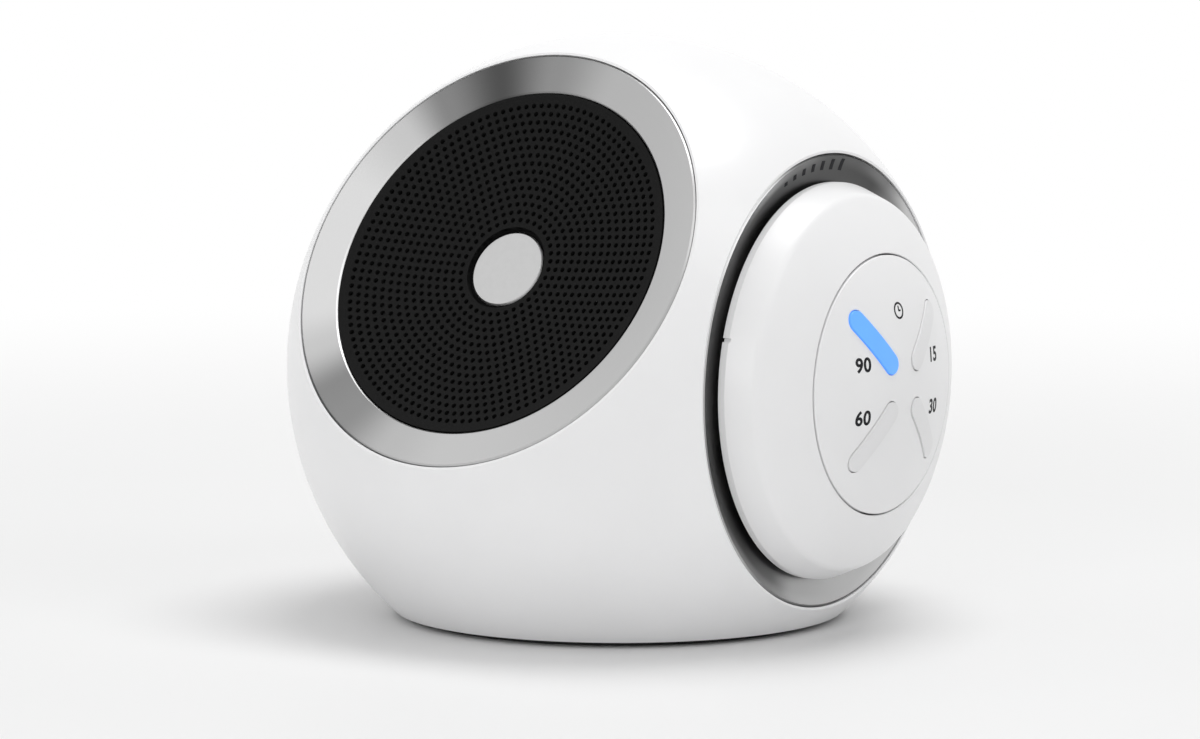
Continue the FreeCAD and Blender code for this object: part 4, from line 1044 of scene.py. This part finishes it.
class DIAL_OT_signs(bpy.types.Operator):
    """Rising strokes on the dial ring that show which way is louder"""
    bl_idname = "sound.dial_signs"
    bl_label = "Dial signs"

    def execute(self, context):
        dial = context.scene.dial
        meshes = []
        for index in range(dial.stroke_count):
            height = dial.stroke_first + dial.stroke_growth * index
            turn = dial.stroke_middle + dial.stroke_step * ((dial.stroke_count - 1) / 2 - index)
            reach = dial.stroke_foot + height / 2
            meshes.append(stroke(reach * math.cos(turn), reach * math.sin(turn),
                                 dial.stroke_width, height, turn - math.pi / 2))
        mesh = joined(meshes)
        lip = (dial.ring_radius - dial.ring_edge, context.scene.shell.dial_plane)
        levels = RING_CURVE + [lip]

        def ring_height(reach):
            for (low, start), (high, end) in zip(levels, levels[1:]):
                if reach <= high:
                    return start + (end - start) * (reach - low) / (high - low)
            return lip[1]

        bmesh.ops.subdivide_edges(mesh, edges=mesh.edges[:], cuts=3, use_grid_fill=True)
        laid_on(mesh, ring_height, 0.04 * MM)
        piece_from(mesh, "signs_dial", DIAL_PLACE, "housing", "black_plastic", "ink_black")
        return {"FINISHED"}


# Stage

def area_light(name, place, size, power):
    lamp = bpy.data.lights.new(name, "AREA")
    lamp.shape = "DISK"
    lamp.size = size
    lamp.energy = power
    item = bpy.data.objects.new(name, lamp)
    aim = (BALL_CENTRE - Vector(place)).to_track_quat("-Z", "Y").to_matrix().to_4x4()
    item.matrix_world = Matrix.Translation(place) @ aim
    bpy.context.scene.collection.objects.link(item)


# Pale floor that fades to white away from the object, as the camera and mirrored rays see it
def floor_finish():
    finish = Finish("stage_floor", (0.80, 0.80, 0.80), 0.6)
    finish.paint(finish.ramp(finish.noise(3.0), [(0.3, 0.79), (0.7, 0.81)]))
    path = finish.new("ShaderNodeLightPath", {}).outputs
    seen = finish.math("MAXIMUM", path["Is Camera Ray"], path["Is Glossy Ray"])
    far = finish.ramp(finish.reach(FLAT_PLACE), [(0.16, 0.0), (0.62, 1.0)])
    clear = finish.new("ShaderNodeEmission", {"Color": (1, 1, 1, 1), "Strength": 1.0})
    mix = finish.new("ShaderNodeMixShader", {
        "Fac": finish.math("MULTIPLY", seen, far),
        1: finish.shader.outputs["BSDF"], 2: clear.outputs["Emission"],
    })
    finish.wire(finish.nodes["Material Output"], {"Surface": mix.outputs["Shader"]})
    return finish.material


class STAGE_OT_room(bpy.types.Operator):
    """Pale floor, white room, soft lights and the camera"""
    bl_idname = "sound.stage"
    bl_label = "Stage"

    def execute(self, context):
        scene = context.scene
        self.floor()
        self.room(scene)
        self.lights()
        self.camera(scene)
        scene.view_settings.view_transform = "Standard"
        return {"FINISHED"}

    def floor(self):
        mesh = bmesh.new()
        bmesh.ops.create_grid(mesh, x_segments=2, y_segments=2, size=6.0)
        data = bpy.data.meshes.new("stage_floor")
        mesh.to_mesh(data)
        mesh.free()
        floor = bpy.data.objects.new("stage_floor", data)
        data.materials.append(floor_finish())
        bpy.context.scene.collection.objects.link(floor)

    # White to the camera, to mirrored rays and through clear parts, and dimmer as a light
    def room(self, scene):
        scene.world = bpy.data.worlds.new("white_room")
        tree = Tree(scene.world)
        path = tree.new("ShaderNodeLightPath", {}).outputs
        shown = tree.math("MAXIMUM", path["Is Camera Ray"], path["Is Transmission Ray"])
        dim = tree.nodes["Background"]
        tree.wire(dim, {"Color": (1, 1, 1, 1), "Strength": 0.60})
        full = tree.new("ShaderNodeBackground", {"Color": (1, 1, 1, 1), "Strength": 1.0})
        mix = tree.new("ShaderNodeMixShader", {
            "Fac": tree.math("MAXIMUM", shown, path["Is Glossy Ray"]),
            1: dim.outputs["Background"], 2: full.outputs["Background"],
        })
        tree.wire(tree.nodes["World Output"], {"Surface": mix.outputs["Shader"]})

    def lights(self):
        area_light("light_above", (0.1, 0.25, 1.35), 0.9, 8.6)
        area_light("light_front", (0.25, -1.3, 0.35), 0.6, 2.6)
        area_light("light_right", (1.0, -0.1, 0.95), 0.7, 1.3)
        area_light("light_left", (-1.25, -0.25, 0.5), 0.8, 0.7)

    def camera(self, scene):
        stage = scene.stage_room
        turn = Matrix.Rotation(stage.camera_turn, 3, "Z")
        back = turn @ Matrix.Rotation(-stage.camera_rise, 3, "X") @ Vector((0, -1, 0))
        right = turn @ Vector((1, 0, 0))
        spin = Matrix.Rotation(stage.aim_turn, 3, "Z")
        right = spin @ right
        aim = Matrix.Rotation(stage.aim_tip, 3, right) @ spin @ back
        facing = Matrix((right, aim.cross(right), aim)).transposed().to_4x4()
        data = bpy.data.cameras.new("view_camera")
        data.sensor_width = 36.0
        data.lens = stage.lens
        data.clip_end = 20.0
        camera = bpy.data.objects.new("view_camera", data)
        place = Matrix.Translation(BALL_CENTRE + back * stage.camera_distance)
        camera.matrix_world = place @ facing
        scene.collection.objects.link(camera)
        scene.camera = camera


PIECES = (
    SHELL_OT_body, SHELL_OT_rear, SHELL_OT_base, SPEAKER_OT_bezel, SPEAKER_OT_grille,
    SPEAKER_OT_cap, SPEAKER_OT_driver, DIAL_OT_ring, DIAL_OT_knob, DIAL_OT_works, TIMER_OT_disc,
    TIMER_OT_bars, TIMER_OT_signs, DIAL_OT_signs, STAGE_OT_room,
)


class SOUND_PT_panel(bpy.types.Panel):
    """Lists the pieces of the sound machine"""
    bl_idname = "SOUND_PT_panel"
    bl_label = "Sound machine"
    bl_space_type = "VIEW_3D"
    bl_region_type = "UI"
    bl_category = "Sound machine"

    def draw(self, context):
        for piece in PIECES:
            self.layout.operator(piece.bl_idname)


CLASSES = (*SETTINGS.values(), *PIECES, SOUND_PT_panel)


def register():
    for item in CLASSES:
        bpy.utils.register_class(item)
    for name, settings in SETTINGS.items():
        setattr(bpy.types.Scene, name, bpy.props.PointerProperty(type=settings))


def unregister():
    for name in SETTINGS:
        delattr(bpy.types.Scene, name)
    for item in reversed(CLASSES):
        bpy.utils.unregister_class(item)


def main():
    register()
    for piece in PIECES:
        group, name = piece.bl_idname.split(".")
        getattr(getattr(bpy.ops, group), name)()


if __name__ == "__main__":
    main()
